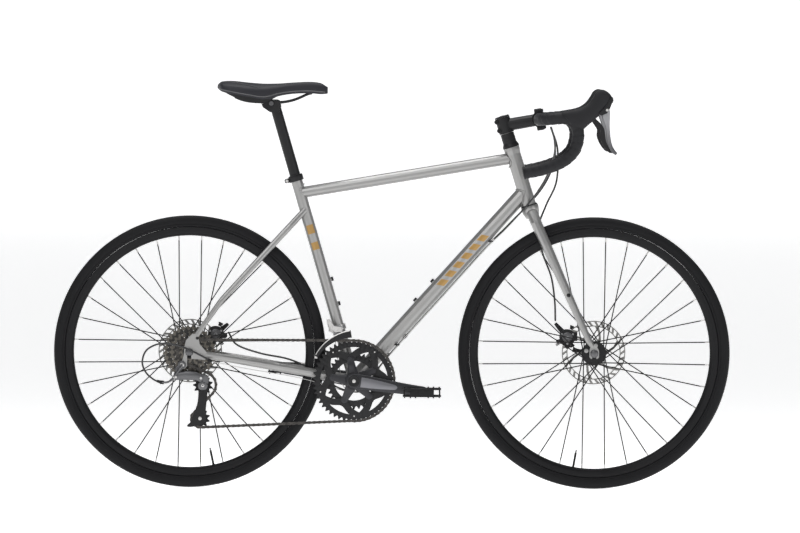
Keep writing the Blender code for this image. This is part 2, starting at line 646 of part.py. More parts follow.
def hub(name, centre, rides, half_spacing, flanges, barrel, rotor_seat, turn):
    """A hub shell with its axle ends and its spokes."""
    right, left = flanges
    end = half_spacing - GAP
    thin = FLANGE_HALF
    profile = [(AXLE_BORE, -half_spacing - 0.0050), (AXLE_RADIUS, -half_spacing - 0.0050),
               (AXLE_RADIUS, -end), (0.0085, -end), (0.0120, right - thin - 0.004),
               (0.0120, right - thin), (FLANGE_RADIUS, right - thin),
               (FLANGE_RADIUS, right + thin), (barrel, right + thin), (barrel, left - thin),
               (FLANGE_RADIUS, left - thin), (FLANGE_RADIUS, left + thin),
               (0.0185, left + thin), (0.0185, rotor_seat), (0.0085, rotor_seat),
               (0.0085, end), (AXLE_RADIUS, end), (AXLE_RADIUS, half_spacing + 0.0050),
               (AXLE_BORE, half_spacing + 0.0050)]
    obj = piece(name, turned(profile, centre, SIDE, 14), BLACK_METAL, rides)
    join(obj, spokes(centre, right, turn), "spokes_right")
    join(obj, spokes(centre, left, turn + math.pi / SPOKES_PER_SIDE), "spokes_left")
    return obj


def rotor(name, centre, y, rides):
    """A brake disc: a braking ring on six arms from a ring bolted to the hub."""
    half = 0.0009
    place = centre + SIDE * y
    ring = turned([(ROTOR_RADIUS, -half), (ROTOR_RADIUS, half), (0.0655, half),
                   (0.0655, -half)], place, SIDE, 28)
    obj = piece(name, ring, STEEL, rides)
    inner = turned([(0.0280, -half), (0.0280, half), (0.0190, half), (0.0190, -half)],
                   place, SIDE, 16)
    bm = bmesh.new()
    bm.from_mesh(inner)
    carrier = finish_mesh("carrier", bm)
    bm = bmesh.new()
    for i in range(6):
        angle = math.pi / 3 * i
        lean = angle + math.radians(22)
        a = [place + Vector((math.cos(angle + d), 0, math.sin(angle + d))) * 0.0245
             for d in (-0.12, 0.12)]
        b = [place + Vector((math.cos(lean + d), 0, math.sin(lean + d))) * 0.0680
             for d in (0.04, -0.04)]
        arm = plate([(p.x, p.z) for p in a + b], y - half * 0.9, y + half * 0.9)
        bm.from_mesh(arm)
        bpy.data.meshes.remove(arm)
    join(obj, finish_mesh("arms", bm), "arms")
    join(obj, carrier, "carrier")


def caliper(name, centre, rotor_y, back, wheel_centre, rides, horn_end, foot):
    """A cable disc caliper: a body with a slot for the disc and a horn for the housing."""
    low, high = rotor_y - 0.0090, rotor_y + 0.0170
    obj = piece(name, plate(circle((centre.x, centre.z), 0.0205, 16), low, high),
                BLACK_METAL, rides)
    join(obj, box((foot[0], rotor_y - 0.006, foot[2]), (foot[1], rotor_y + 0.014, foot[3])),
         "foot")
    reach = Vector((horn_end[0] - centre.x, 0, horn_end[1] - centre.z))
    start = centre + reach * 0.25 + SIDE * (rotor_y + 0.0125)
    end = Vector((horn_end[0], rotor_y + 0.0220, horn_end[1]))
    join(obj, oval_sweep([start, end], [0.0035, 0.0040], [0.0080, 0.0045], 8), "horn")
    slot = [(0.0850, -0.0026), (0.0300, -0.0026), (0.0300, 0.0026), (0.0850, 0.0026)]
    cut(obj, turned(slot, wheel_centre + SIDE * rotor_y, SIDE, 36), "slot")
    return obj


def caliper_arm(word, pivot, tip):
    rides = f"{word}_caliper_arm"
    boss = turned([(0.0075, 0.0), (0.0, 0.0), (0.0, 0.0070), (0.0075, 0.0070)],
                  pivot, SIDE, 14)
    obj = piece(rides, boss, GREY_METAL, rides)
    reach = pivot + (tip - pivot) + SIDE * 0.0025
    join(obj, oval_sweep([pivot + SIDE * 0.0025, reach], [0.0018, 0.0018],
                         [0.0060, 0.0035], 8), "lever")


def qr_lever(name, axle, half_spacing, dropout, rides):
    """The clamp cap and curved lever on the left end of an axle, pointing back when shut."""
    y = half_spacing + dropout + GAP + 0.0052
    centre = axle + SIDE * y
    cap = turned([(0.0100, 0.0), (0.0, 0.0), (0.0, 0.0060), (0.0070, 0.0080),
                  (0.0100, 0.0045)], centre, SIDE, 16)
    obj = piece(name, cap, BLACK_METAL, rides)
    arm = [(axle.x + 0.004, y + 0.005, axle.z), (axle.x - 0.012, y + 0.007, axle.z + 0.001),
           (axle.x - 0.030, y + 0.006, axle.z + 0.003), (axle.x - 0.050, y + 0.003,
                                                          axle.z + 0.006)]
    join(obj, oval_sweep(arm, [0.0035, 0.0025, 0.0022, 0.0025], [0.0055, 0.0045, 0.0050,
                                                               0.0065], 8), "arm")


def wheels():
    tyre("front_tyre", FRONT_AXLE, "front_wheel")
    rim("front_rim", FRONT_AXLE, "front_wheel")
    hub("front_hub", FRONT_AXLE, "front_wheel", FRONT_HALF_SPACING, (-0.0300, 0.0270),
        0.0130, 0.0410, math.radians(8.3))
    rotor("front_rotor", FRONT_AXLE, FRONT_ROTOR_Y, "front_wheel")
    tyre("rear_tyre", REAR_AXLE, "rear_wheel")
    rim("rear_rim", REAR_AXLE, "rear_wheel")
    hub("rear_hub", REAR_AXLE, "rear_wheel", REAR_HALF_SPACING, (-0.0230, 0.0330), 0.0170,
        0.0530, math.radians(12))
    rotor("rear_rotor", REAR_AXLE, REAR_ROTOR_Y, "rear_wheel")


# Drivetrain


def toothed_ring(teeth, inner, y, half, lift=0.0022, drop=0.0028):
    """A chainring or cog: points on its teeth and roots outside, a round hole inside."""
    radius = pitch_radius(teeth)
    outside = []
    inside = []
    for i in range(teeth):
        for part, r in ((0.0, radius - drop), (0.5, radius + lift)):
            angle = 2 * math.pi * (i + part) / teeth
            outside.append((r * math.cos(angle), r * math.sin(angle)))
            inside.append((inner * math.cos(angle), inner * math.sin(angle)))
    rings = [[Vector((BB.x + x, y + side, BB.z + z)) for x, z in loop]
             for loop, side in ((outside, -half), (outside, half), (inside, half),
                                (inside, -half))]
    return loft(rings, "ring", closed=True)


CRANK_ARM_Y = 0.0640
SPIDER_Y = -0.0430
BOLT_CIRCLE = 0.0550
SPIDER_ARMS = 5


def crank_arm(sign, forward):
    end = forward * CRANK_LENGTH
    y = sign * CRANK_ARM_Y
    rows = ((-0.012, 0.0085, 0.0170), (0.012, 0.0085, 0.0165), (0.050, 0.0068, 0.0140),
            (CRANK_LENGTH - 0.020, 0.0060, 0.0125), (CRANK_LENGTH + 0.014, 0.0062, 0.0130))
    points = [BB + forward * a + SIDE * (y + sign * a * 0.020) for a, _, _ in rows]
    return oval_sweep(points, [row[1] for row in rows], [row[2] for row in rows], 12)


def crankset():
    right = piece("crank_right", crank_arm(RIGHT, CRANK_FORWARD), GREY_METAL, "crankset")
    boss = turned([(0.0190, -0.0620), (0, -0.0620), (0, -0.0420), (0.0190, -0.0420)], BB,
                  SIDE, 20)
    join(right, boss, "boss")
    for i in range(SPIDER_ARMS):
        angle = CRANK_SLOPE + 2 * math.pi * (i + 0.5) / SPIDER_ARMS
        out = Vector((math.cos(angle), 0, math.sin(angle)))
        end = BB + out * (BOLT_CIRCLE + 0.008) + SIDE * SPIDER_Y
        points = [BB + out * 0.004 + SIDE * -0.0530, BB + out * 0.034 + SIDE * -0.0470,
                  BB + out * 0.0465 + SIDE * SPIDER_Y, end]
        arm = oval_sweep(points, [0.0050, 0.0030, 0.0018, 0.0018],
                         [0.0130, 0.0105, 0.0092, 0.0080], 8)
        join(right, arm, f"spider_{i}")
    bore = [(0.0122, -0.0600), (0, -0.0600), (0, -0.0380), (0.0122, -0.0380)]
    cut(right, turned(bore, BB, SIDE, 20), "spindle_bore")
    recess = [(0.0083, -0.0800), (0, -0.0800), (0, -0.0545), (0.0083, -0.0545)]
    cut(right, turned(recess, BB, SIDE, 12), "bolt_recess")

    left = piece("crank_left", crank_arm(LEFT, -CRANK_FORWARD), GREY_METAL, "crankset")
    join(left, turned([(0.0120, -0.0590), (0.0095, -0.0590), (0.0095, 0.0560),
                       (0.0120, 0.0560)], BB, SIDE, 20), "spindle")
    outer = toothed_ring(OUTER_TEETH, 0.0840, OUTER_RING_Y, 0.0009)
    outer = piece("chainring_outer", outer, BLACK_METAL, "crankset")
    for i in range(SPIDER_ARMS):
        angle = CRANK_SLOPE + 2 * math.pi * (i + 0.5) / SPIDER_ARMS
        out = Vector((math.cos(angle), 0, math.sin(angle)))
        along = Vector((-out.z, 0, out.x))
        points = [BB + out * 0.0500, BB + out * 0.0620 + along * 0.0100,
                  BB + out * 0.0860 + along * 0.0060, BB + out * 0.0860 - along * 0.0060,
                  BB + out * 0.0620 - along * 0.0100]
        strut = plate([(p.x, p.z) for p in points], OUTER_RING_Y - 0.0008,
                      OUTER_RING_Y + 0.0008)
        join(outer, strut, f"strut_{i}")
    inner = toothed_ring(INNER_TEETH, 0.0460, INNER_RING_Y, 0.0010)
    piece("chainring_inner", inner, BLACK_METAL, "crankset")


def cassette():
    """Nine cogs on a carrier, stepped from the smallest outside to the largest inside."""
    centre = REAR_AXLE
    smallest_y = DRIVEN_COG_Y - COG_PITCH * COG_TEETH.index(DRIVEN_TEETH)
    outside = []
    grooved = COG_TEETH.index(DRIVEN_TEETH)
    for i, teeth in enumerate(COG_TEETH):
        radius = pitch_radius(teeth) + 0.0005
        y = smallest_y + COG_PITCH * i
        if i in (grooved - 1, grooved):
            groove = radius - 0.0055
            outside += [(radius, y - COG_HALF), (radius, y + COG_HALF), (groove, y + COG_HALF),
                        (groove, y + COG_PITCH - COG_HALF)]
        elif teeth == COG_TEETH[-1]:
            outside += [(radius, y - COG_HALF), (radius, y + COG_HALF)]
        else:
            outside += [(radius, y - COG_HALF), (radius, y + COG_PITCH - COG_HALF)]
    last = outside[-1][1]
    profile = [(0.0125, outside[0][1])] + outside + [(0.0125, last)]
    piece("cassette", turned(profile, centre, SIDE, 22), STEEL, "cassette")


def pedal(word, sign, point):
    """A platform pedal: a cage round its spindle."""
    half_length, half_width, half_height = 0.0480, 0.0400, 0.0085
    outline = [(-0.5, 1), (0.5, 1), (1, 0.45), (1, -0.45), (0.5, -1), (-0.5, -1),
               (-1, -0.45), (-1, 0.45)]
    rings = [[point + Vector((x * half_length, v * half_width * grow, z)) for x, v in outline]
             for z, grow in ((-half_height, 0.94), (-half_height + 0.004, 1.0),
                             (half_height - 0.004, 1.0), (half_height, 0.94))]
    obj = piece(f"pedal_{word}", loft(rings), PLASTIC, f"pedal_{word}")
    for side, place in (("front", 0.0250), ("rear", -0.0250)):
        low = point + Vector((place - 0.0120, -0.0220, -0.02))
        high = point + Vector((place + 0.0120, 0.0220, 0.02))
        cut(obj, box(low, high), side)
    root = point - SIDE * sign * (PEDAL_Y - 0.0760)
    join(obj, rod(root, point, 0.0062, sides=12), "spindle")


# Across half width, and heights from the pitch line towards the outside and the teeth
CHAIN_HALF_WIDTH = 0.0024
CHAIN_INNER_HALF = 0.0014
CHAIN_BACK = 0.0056
CHAIN_BRIDGE = 0.0046
CHAIN_FRONT = 0.0036


def arc(centre, radius, start, end, count):
    """Points along a circle across the bicycle, between two angles in degrees."""
    angles = [math.radians(start + (end - start) * i / (count - 1)) for i in range(count)]
    return [centre + Vector((math.cos(a), 0, math.sin(a))) * radius for a in angles]


def chain():
    """The closed chain, as a channel that holds the teeth: round ring, cog and pulleys."""
    ring_centre = Vector((BB.x, OUTER_RING_Y, BB.z))
    cog_centre = Vector((REAR_AXLE.x, DRIVEN_COG_Y, REAR_AXLE.z))
    path = arc(ring_centre, pitch_radius(OUTER_TEETH), -96, 90, 15)
    path.append(ring_centre + Vector((-0.040, 0, pitch_radius(OUTER_TEETH))))
    path.append(cog_centre + Vector((0.045, 0, pitch_radius(DRIVEN_TEETH))))
    path += arc(cog_centre, pitch_radius(DRIVEN_TEETH), 90, 250, 8)
    path += arc(GUIDE_PULLEY, pitch_radius(PULLEY_TEETH) + 0.0102, 62, -32, 5)
    path += arc(TENSION_PULLEY, pitch_radius(PULLEY_TEETH), 158, 276, 7)
    wide, slim = CHAIN_HALF_WIDTH, CHAIN_INNER_HALF
    section = ((-wide, -CHAIN_BACK), (wide, -CHAIN_BACK), (wide, CHAIN_FRONT),
               (slim, CHAIN_FRONT), (slim, -CHAIN_BRIDGE), (-slim, -CHAIN_BRIDGE),
               (-slim, CHAIN_FRONT), (-wide, CHAIN_FRONT))
    rings = []
    for i, point in enumerate(path):
        along = (path[(i + 1) % len(path)] - path[i - 1]).normalized()
        side = (SIDE - along * SIDE.dot(along)).normalized()
        inward = along.cross(side)
        rings.append([point + side * a + inward * b for a, b in section])
    piece("chain", loft(rings, "chain", closed=True), CHAIN_STEEL, "frame")


def pulley(name, centre, lift):
    """A toothed pulley on a plain bore."""
    radius = pitch_radius(PULLEY_TEETH)
    outside = []
    bore = []
    for i in range(PULLEY_TEETH * 2):
        r = radius + (lift if i % 2 else -0.0028)
        angle = math.pi * i / PULLEY_TEETH
        outside.append((r * math.cos(angle), r * math.sin(angle)))
        bore.append((0.0030 * math.cos(angle), 0.0030 * math.sin(angle)))
    rings = [[centre + Vector((x, side, z)) for x, z in loop]
             for loop, side in ((outside, -0.0010), (outside, 0.0010), (bore, 0.0010),
                                (bore, -0.0010))]
    piece(name, loft(rings, name, closed=True), PLASTIC, name)


CAGE_GAP = 0.0060
CAGE_THICK = 0.0014
CAGE_OUTLINE = ((-0.4825, 0.2600), (-0.4770, 0.2690), (-0.4670, 0.2690), (-0.4615, 0.2600),
                (-0.4650, 0.2200), (-0.4680, 0.1900), (-0.4660, 0.1720), (-0.4740, 0.1620),
                (-0.5030, 0.1535), (-0.5125, 0.1560), (-0.4960, 0.1860), (-0.4850, 0.2100))


def rear_derailleur():
    hanger = Vector((-0.5250, -0.0745, 0.3090))
    knuckle = oval_sweep([hanger + SIDE * -0.0095, Vector((-0.5400, -0.0840, 0.2945))],
                         [0.0075, 0.0095], [0.0085, 0.0070], 12)
    piece("rear_derailleur_mount", knuckle, GREY_METAL, "frame")
    for word, shift in (("outer", Vector((0, 0, 0))), ("inner", INNER_LINK_OFFSET)):
        start, end = SHIFT_TOP + shift, KNUCKLE + shift
        along = Vector((0.0024, 0, 0))
        link = oval_sweep([start - along * 2, end + along], [0.0026] * 2, [0.0065, 0.0058], 8)
        name = f"rear_derailleur_{word}_link"
        piece(name, link, GREY_METAL, name)

    barrel = [(0.0105, -0.0835), (0.0, -0.0835), (0.0, -0.0660), (0.0105, -0.0660)]
    centre = Vector((GUIDE_PULLEY.x, 0, GUIDE_PULLEY.z))
    knuckle = piece("rear_derailleur_knuckle", turned(barrel, centre, SIDE, 16), GREY_METAL,
                    "rear_derailleur_knuckle")
    join(knuckle, box((-0.4720, -0.0885, 0.2610), (-0.4600, -0.0665, 0.2830)), "ear")

    y = DRIVEN_COG_Y
    outer = (y - CAGE_GAP - CAGE_THICK, y - CAGE_GAP)
    inner = (y + CAGE_GAP, y + CAGE_GAP + CAGE_THICK)
    cage = piece("rear_derailleur_cage", plate(CAGE_OUTLINE, *outer), BLACK_METAL,
                 "rear_derailleur_cage")
    join(cage, plate(CAGE_OUTLINE, *inner), "inner_plate")
    for word, point in (("guide", GUIDE_PULLEY), ("tension", TENSION_PULLEY)):
        pin = rod(point + SIDE * -0.0070, point + SIDE * 0.0070, 0.0026, sides=10)
        join(cage, pin, f"{word}_pin")
    pulley("guide_pulley", GUIDE_PULLEY, 0.0030)
    pulley("tension_pulley", TENSION_PULLEY, 0.0030)


def front_derailleur():
    band_low = BB + SEAT_AXIS * 0.1310
    outer = SEAT_TUBE_RADIUS + 0.0035
    band = turned([(outer, 0), (SEAT_TUBE_RADIUS + GAP, 0),
                   (SEAT_TUBE_RADIUS + GAP, 0.013), (outer, 0.013)], band_low, SEAT_AXIS, 20)
    clamp = piece("front_derailleur_clamp", band, GREY_METAL, "frame")
    middle = band_low + SEAT_AXIS * 0.0065
    low = Vector((middle.x - 0.0140, -0.0320, middle.z - 0.0190))
    high = Vector((middle.x + 0.0060, -0.0160, middle.z + 0.0060))
    join(clamp, box(low, high), "body")

    ring = Vector((BB.x, 0, BB.z))
    below = arc(ring, 0.1085, 93, 148, 7)
    above = arc(ring, 0.1270, 143, 94, 6)
    outline = [(p.x, p.z) for p in below + above]
    cage = piece("front_derailleur_cage", plate(outline, -0.0525, -0.0510), GREY_METAL,
                 "front_derailleur_cage")
    join(cage, plate(outline, -0.0425, -0.0410), "inner_plate")
    bridge_low = arc(ring, 0.1215, 96, 107, 3)
    bridge_high = arc(ring, 0.1240, 107, 96, 3)
    join(cage, plate([(p.x, p.z) for p in bridge_low + bridge_high], -0.0515, -0.0420),
         "bridge")
    foot = (low.x + 0.002, -0.0420, low.z - 0.0055)
    join(cage, box(foot, (high.x - 0.002, -0.0240, low.z - 0.0010)), "arm")


# Saddle

SADDLE_ROWS = ((-0.4370, 0.0300, 0.9990, 1.0130), (-0.4270, 0.0600, 0.9930, 1.0190),
               (-0.3980, 0.0720, 0.9850, 1.0200), (-0.3620, 0.0700, 0.9780, 1.0170),
               (-0.3230, 0.0540, 0.9745, 1.0145), (-0.2850, 0.0350, 0.9830, 1.0150),
               (-0.2500, 0.0250, 0.9900, 1.0175), (-0.2100, 0.0210, 0.9930, 1.0190),
               (-0.1780, 0.0175, 0.9950, 1.0140), (-0.1600, 0.0080, 0.9965, 1.0040))


def saddle():
    rings = []
    for x, half, low, high in SADDLE_ROWS:
        height = high - low
        section = ((1.0, 0.30), (0.96, 0.62), (0.80, 0.86), (0.45, 0.98), (0, 1.0))
        right = [(half * u, low + height * v) for u, v in section]
        across = right + [(-y, z) for y, z in right[-2::-1]]
        across += [(-half * 0.86, low), (0, low + height * 0.12), (half * 0.86, low)]
        rings.append([Vector((x, y, z)) for y, z in across])
    piece("saddle", loft(rings), COVER, "seatpost")

    half_rail = ((-0.3950, 0.0340, 0.9790), (-0.3650, 0.0270, 0.9700),
                 (-0.3350, 0.0220, 0.9672), (-0.2750, 0.0220, 0.9672),
                 (-0.2450, 0.0190, 0.9740), (-0.2150, 0.0110, 0.9870))
    points = [(x, -y, z) for x, y, z in half_rail] + [(-0.2060, 0.0, 0.9890)]
    points += list(half_rail[::-1])
    piece("saddle_rails", swept(points, 0.0035, 8), BLACK_METAL, "seatpost")


def seatpost():
    post = piece("seatpost", rod(SEATPOST_BOTTOM, SEATPOST_TOP, SEATPOST_RADIUS,
                                 sides=TUBE_SIDES), BLACK_METAL, "seatpost")
    head = [(-0.3300, 0.9630), (-0.3260, 0.9540), (-0.3080, 0.9420), (-0.2860, 0.9400),
            (-0.2800, 0.9560), (-0.2810, 0.9630)]
    join(post, plate(head, -0.0270, 0.0270), "head")


def housings():
    """The brake and shift cables, held along their whole routes."""
    across = Vector((0.7448, 0, -0.6673))
    along = (BB - DOWN_TUBE_START).normalized()

    def under(distance, y, away=0.0225):
        return tuple(DOWN_TUBE_START + along * distance + across * away + SIDE * y)

    housing("rear_brake_housing",
            [(0.3980, 0.1450, 0.9070), (0.4080, 0.1300, 0.8700), (0.4050, 0.0900, 0.8150),
             (0.3700, 0.0430, 0.7460), under(0.090, 0.012, 0.026), under(0.160, 0.012),
             under(0.330, 0.012), under(0.500, 0.014), under(0.580, 0.018, 0.0260),
             (-0.0700, 0.0240, 0.2460), (-0.1080, 0.0300, 0.2420), (-0.1500, 0.0400, 0.2580),
             (-0.2000, 0.0425, 0.2950),
             (-0.2600, 0.0450, 0.3210), (-0.3300, 0.0500, 0.3350), (-0.3900, 0.0660, 0.3560),
             (-0.4120, 0.0730, 0.3880)], 0.0024, 2, "frame")
    housing("front_brake_housing",
            [(0.3980, 0.1150, 0.9070), (0.4150, 0.0980, 0.8500), (0.4120, 0.0700, 0.7700),
             (0.3860, 0.0560, 0.7100), (0.3660, 0.0530, 0.6500), (0.3780, 0.0550, 0.5900),
             (0.4000, 0.0590, 0.5300), (0.4090, 0.0615, 0.4700), (0.4110, 0.0620, 0.4190)],
            0.0024, 2, "steering")
    for word, sign, y in (("rear", RIGHT, -0.008), ("front", LEFT, -0.001)):
        points = [(0.3960, -0.1300 if sign == RIGHT else -0.1000, 0.9070),
                  (0.4060, -0.1150 if sign == RIGHT else -0.0880, 0.8650),
                  (0.3950, -0.0750 if sign == RIGHT else -0.0560, 0.8050),
                  (0.3560, -0.0360 if sign == RIGHT else -0.0270, 0.7350),
                  under(0.090, y - 0.006, 0.0265), under(0.150, y)]
        if sign == RIGHT:
            points += [under(0.330, y), under(0.500, y), under(0.590, y, 0.0265),
                       (-0.0900, -0.0100, 0.2425), (-0.1350, -0.0180, 0.2480),
                       (-0.1750, -0.0250, 0.2620), (-0.2500, -0.0330, 0.2800),
                       (-0.3600, -0.0560, 0.2990), (-0.4500, -0.0810, 0.3180),
                       (-0.5000, -0.0910, 0.3440), (-0.5400, -0.0910, 0.3590),
                       (-0.5800, -0.0900, 0.3620), (-0.6130, -0.0890, 0.3460),
                       (-0.6240, -0.0880, 0.3165), (-0.6150, -0.0870, 0.2900),
                       (-0.5950, -0.0860, 0.2720), (-0.5760, -0.0850, 0.2650)]
        else:
            points += [under(0.330, y), under(0.500, y), under(0.590, y, 0.0265),
                       (-0.0900, -0.0020, 0.2425), (-0.1200, -0.0050, 0.2530),
                       (-0.1310, -0.0100, 0.3000), (-0.1400, -0.0180, 0.3500),
                       (-0.1420, -0.0205, 0.3815)]
        housing(f"{word}_shift_cable", points, 0.0020, 2, "frame")


def main():
    make_bodies()
    frame_tubes()
    rear_stays("right", RIGHT)
    rear_stays("left", LEFT)
    fork()
    headset_and_stem()
    handlebar()
    for word, sign in (("right", RIGHT), ("left", LEFT)):
        hood(word, sign)
        levers(word, sign)
    wheels()
    caliper("front_caliper", FRONT_CALIPER, FRONT_ROTOR_Y, 0, FRONT_AXLE, "steering",
            (0.4110, 0.4130), (0.4550, 0.4660, 0.3700, 0.3920))
    caliper("rear_caliper", REAR_CALIPER, REAR_ROTOR_Y, 0, REAR_AXLE, "frame",
            (-0.4130, 0.4080), (-0.4560, -0.4440, 0.3560, 0.3720))
    caliper_arm("front", FRONT_CALIPER + SIDE * 0.0600, Vector((0.4128, 0.0600, 0.3586)))
    caliper_arm("rear", REAR_CALIPER + SIDE * 0.0720, Vector((-0.4250, 0.0720, 0.3560)))
    crankset()
    cassette()
    pedal("right", RIGHT, PEDAL_RIGHT)
    pedal("left", LEFT, PEDAL_LEFT)
    chain()
    rear_derailleur()
    front_derailleur()
    seatpost()
    saddle()
    qr_lever("front_qr_lever", FRONT_AXLE, FRONT_HALF_SPACING, 0.006, "front_qr")
    qr_lever("rear_qr_lever", REAR_AXLE, REAR_HALF_SPACING, DROPOUT_PLATE, "rear_qr")
    housings()


main()
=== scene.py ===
"""The look of the road bicycle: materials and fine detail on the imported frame."""

import math

import bmesh
import bpy
from mathutils import Matrix, Vector


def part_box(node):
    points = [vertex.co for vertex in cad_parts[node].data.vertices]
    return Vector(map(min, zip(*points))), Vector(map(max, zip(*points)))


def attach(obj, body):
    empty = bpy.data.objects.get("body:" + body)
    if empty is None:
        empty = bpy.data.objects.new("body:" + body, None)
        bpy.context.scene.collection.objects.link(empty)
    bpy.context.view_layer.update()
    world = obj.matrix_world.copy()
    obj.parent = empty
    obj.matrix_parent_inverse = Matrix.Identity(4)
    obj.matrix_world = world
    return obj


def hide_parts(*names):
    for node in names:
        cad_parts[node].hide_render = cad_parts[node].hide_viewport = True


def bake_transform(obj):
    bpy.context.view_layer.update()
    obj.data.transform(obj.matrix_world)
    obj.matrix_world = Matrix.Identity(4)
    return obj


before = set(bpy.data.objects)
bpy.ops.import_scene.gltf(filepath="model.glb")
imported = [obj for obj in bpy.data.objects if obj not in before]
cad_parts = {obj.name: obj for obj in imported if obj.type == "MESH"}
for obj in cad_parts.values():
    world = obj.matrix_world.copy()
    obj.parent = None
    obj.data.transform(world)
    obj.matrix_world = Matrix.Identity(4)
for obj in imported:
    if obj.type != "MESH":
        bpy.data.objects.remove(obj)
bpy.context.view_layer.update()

SIDE = Vector((0, 1, 0))
UP = Vector((0, 0, 1))


def middle(node):
    """The centre of a node's box."""
    low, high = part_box(node)
    return (Vector(low) + Vector(high)) / 2


FRONT_AXLE = middle("front_tyre")
REAR_AXLE = middle("rear_tyre")
BB = middle("chainring_outer")
BB.y = 0.0
PEDAL_RIGHT = middle("pedal_right")
PEDAL_LEFT = middle("pedal_left")
TYRE_RADIUS = FRONT_AXLE.z
HEAD_TOP = Vector((0.2975, 0, 0.8558))
HEAD_BOTTOM = Vector((0.3423, 0, 0.7125))
SEAT_TUBE_TOP = Vector((-0.2437, 0, 0.7806))
HEAD_AXIS = (HEAD_TOP - HEAD_BOTTOM).normalized()
SEAT_AXIS = (SEAT_TUBE_TOP - BB).normalized()
CHAIN_PITCH = 0.0127


# Shapes


def smooth(mesh, degrees=38):
    """Smooth shading that keeps edges sharper than this angle."""
    for polygon in mesh.polygons:
        polygon.use_smooth = True
    mesh.set_sharp_from_angle(angle=math.radians(degrees))


def piece(name, bm, look, body, stands_for=(), degrees=38, blend=None):
    """Makes the object of a bmesh, gives it its material and puts it on a body."""
    bmesh.ops.remove_doubles(bm, verts=bm.verts, dist=2e-6)
    bmesh.ops.recalc_face_normals(bm, faces=bm.faces)
    mesh = bpy.data.meshes.new(name)
    bm.to_mesh(mesh)
    bm.free()
    smooth(mesh, degrees)
    obj = bpy.data.objects.new(name, mesh)
    bpy.context.scene.collection.objects.link(obj)
    looks = look if isinstance(look, (list, tuple)) else [look]
    for material in looks:
        mesh.materials.append(material)
    if stands_for:
        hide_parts(*stands_for)
    if blend:
        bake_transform(obj)
    else:
        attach(obj, body)
    return obj


def loft(bm, rings, closed=False, caps=True, material=0):
    """Skins rings of points; closed joins the last ring to the first."""
    rows = [[bm.verts.new(p) for p in ring] for ring in rings]
    count = len(rows[0])
    pairs = list(zip(rows, rows[1:]))
    if closed:
        pairs.append((rows[-1], rows[0]))
    for a, b in pairs:
        for i in range(count):
            j = (i + 1) % count
            face = bm.faces.new((a[i], a[j], b[j], b[i]))
            face.material_index = material
    if caps and not closed:
        for row in (rows[0][::-1], rows[-1]):
            bm.faces.new(row).material_index = material
    return rows


def across(axis):
    """Two unit vectors square to an axis."""
    other = UP if abs(axis.dot(UP)) < 0.9 else Vector((1, 0, 0))
    u = axis.cross(other).normalized()
    return u, axis.cross(u).normalized()


def turned(bm, profile, centre, axis=SIDE, sides=48, closed=False, material=0):
    """A turned shape: profile holds (radius, distance along the axis)."""
    axis = Vector(axis).normalized()
    u, v = across(axis)
    rings = []
    for i in range(sides):
        angle = 2 * math.pi * i / sides
        out = u * math.cos(angle) + v * math.sin(angle)
        rings.append([centre + axis * a + out * r for r, a in profile])
    rows = [[bm.verts.new(p) for p in ring] for ring in rings]
    count = len(profile)
    steps = count if closed else count - 1
    for i in range(sides):
        a, b = rows[i], rows[(i + 1) % sides]
        for k in range(steps):
            m = (k + 1) % count
            if profile[k][0] == 0 and profile[m][0] == 0:
                continue
            face = bm.faces.new((a[k], b[k], b[m], a[m]))
            face.material_index = material
    return rows


def tube_rings(points, radius, sides, flat=1.0, side_axis=None):
    """Rings round a path, carried along it without twist. radius is a number or a list."""
    points = [Vector(p) for p in points]
    rings = []
    normal = None
    for i, point in enumerate(points):
        before = points[max(i - 1, 0)]
        after = points[min(i + 1, len(points) - 1)]
        along = (after - before).normalized()
        if normal is None:
            normal = side_axis.copy() if side_axis else across(along)[0]
        normal = (normal - along * normal.dot(along)).normalized()
        other = along.cross(normal)
        r = radius[i] if isinstance(radius, (list, tuple)) else radius
        rings.append([point + normal * (r * math.cos(2 * math.pi * k / sides))
                      + other * (r * flat * math.sin(2 * math.pi * k / sides))
                      for k in range(sides)])
    return rings


def tube(bm, points, radius, sides=12, flat=1.0, side_axis=None, material=0):
    loft(bm, tube_rings(points, radius, sides, flat, side_axis), material=material)


def rounded(points, steps=8):
    """A Catmull-Rom path through the points."""
    pts = [Vector(p) for p in points]
    pts = [pts[0] * 2 - pts[1]] + pts + [pts[-1] * 2 - pts[-2]]
    path = []
    for a, b, c, d in zip(pts, pts[1:], pts[2:], pts[3:]):
        for k in range(steps):
            t = k / steps
            path.append(0.5 * ((2 * b) + (c - a) * t + (2 * a - 5 * b + 4 * c - d) * t ** 2
                               + (3 * b - a - 3 * c + d) * t ** 3))
    path.append(pts[-2])
    return path


def prism(bm, outline, y0, y1, bevel=0.0, material=0):
    """A plate in the X-Z plane between two Y values, with an optional edge bevel."""
    centre = sum((Vector((x, 0, z)) for x, z in outline), Vector()) / len(outline)
    rings = []
    for y, inset in ((y0, bevel), (y0 + bevel, 0), (y1 - bevel, 0), (y1, bevel)):
        ring = []
        for x, z in outline:
            p = Vector((x, 0, z))
            if inset:
                p = p + (centre - p).normalized() * inset
            ring.append(Vector((p.x, y, p.z)))
        rings.append(ring)
    if not bevel:
        rings = [rings[0], rings[3]]
    loft(bm, rings, material=material)


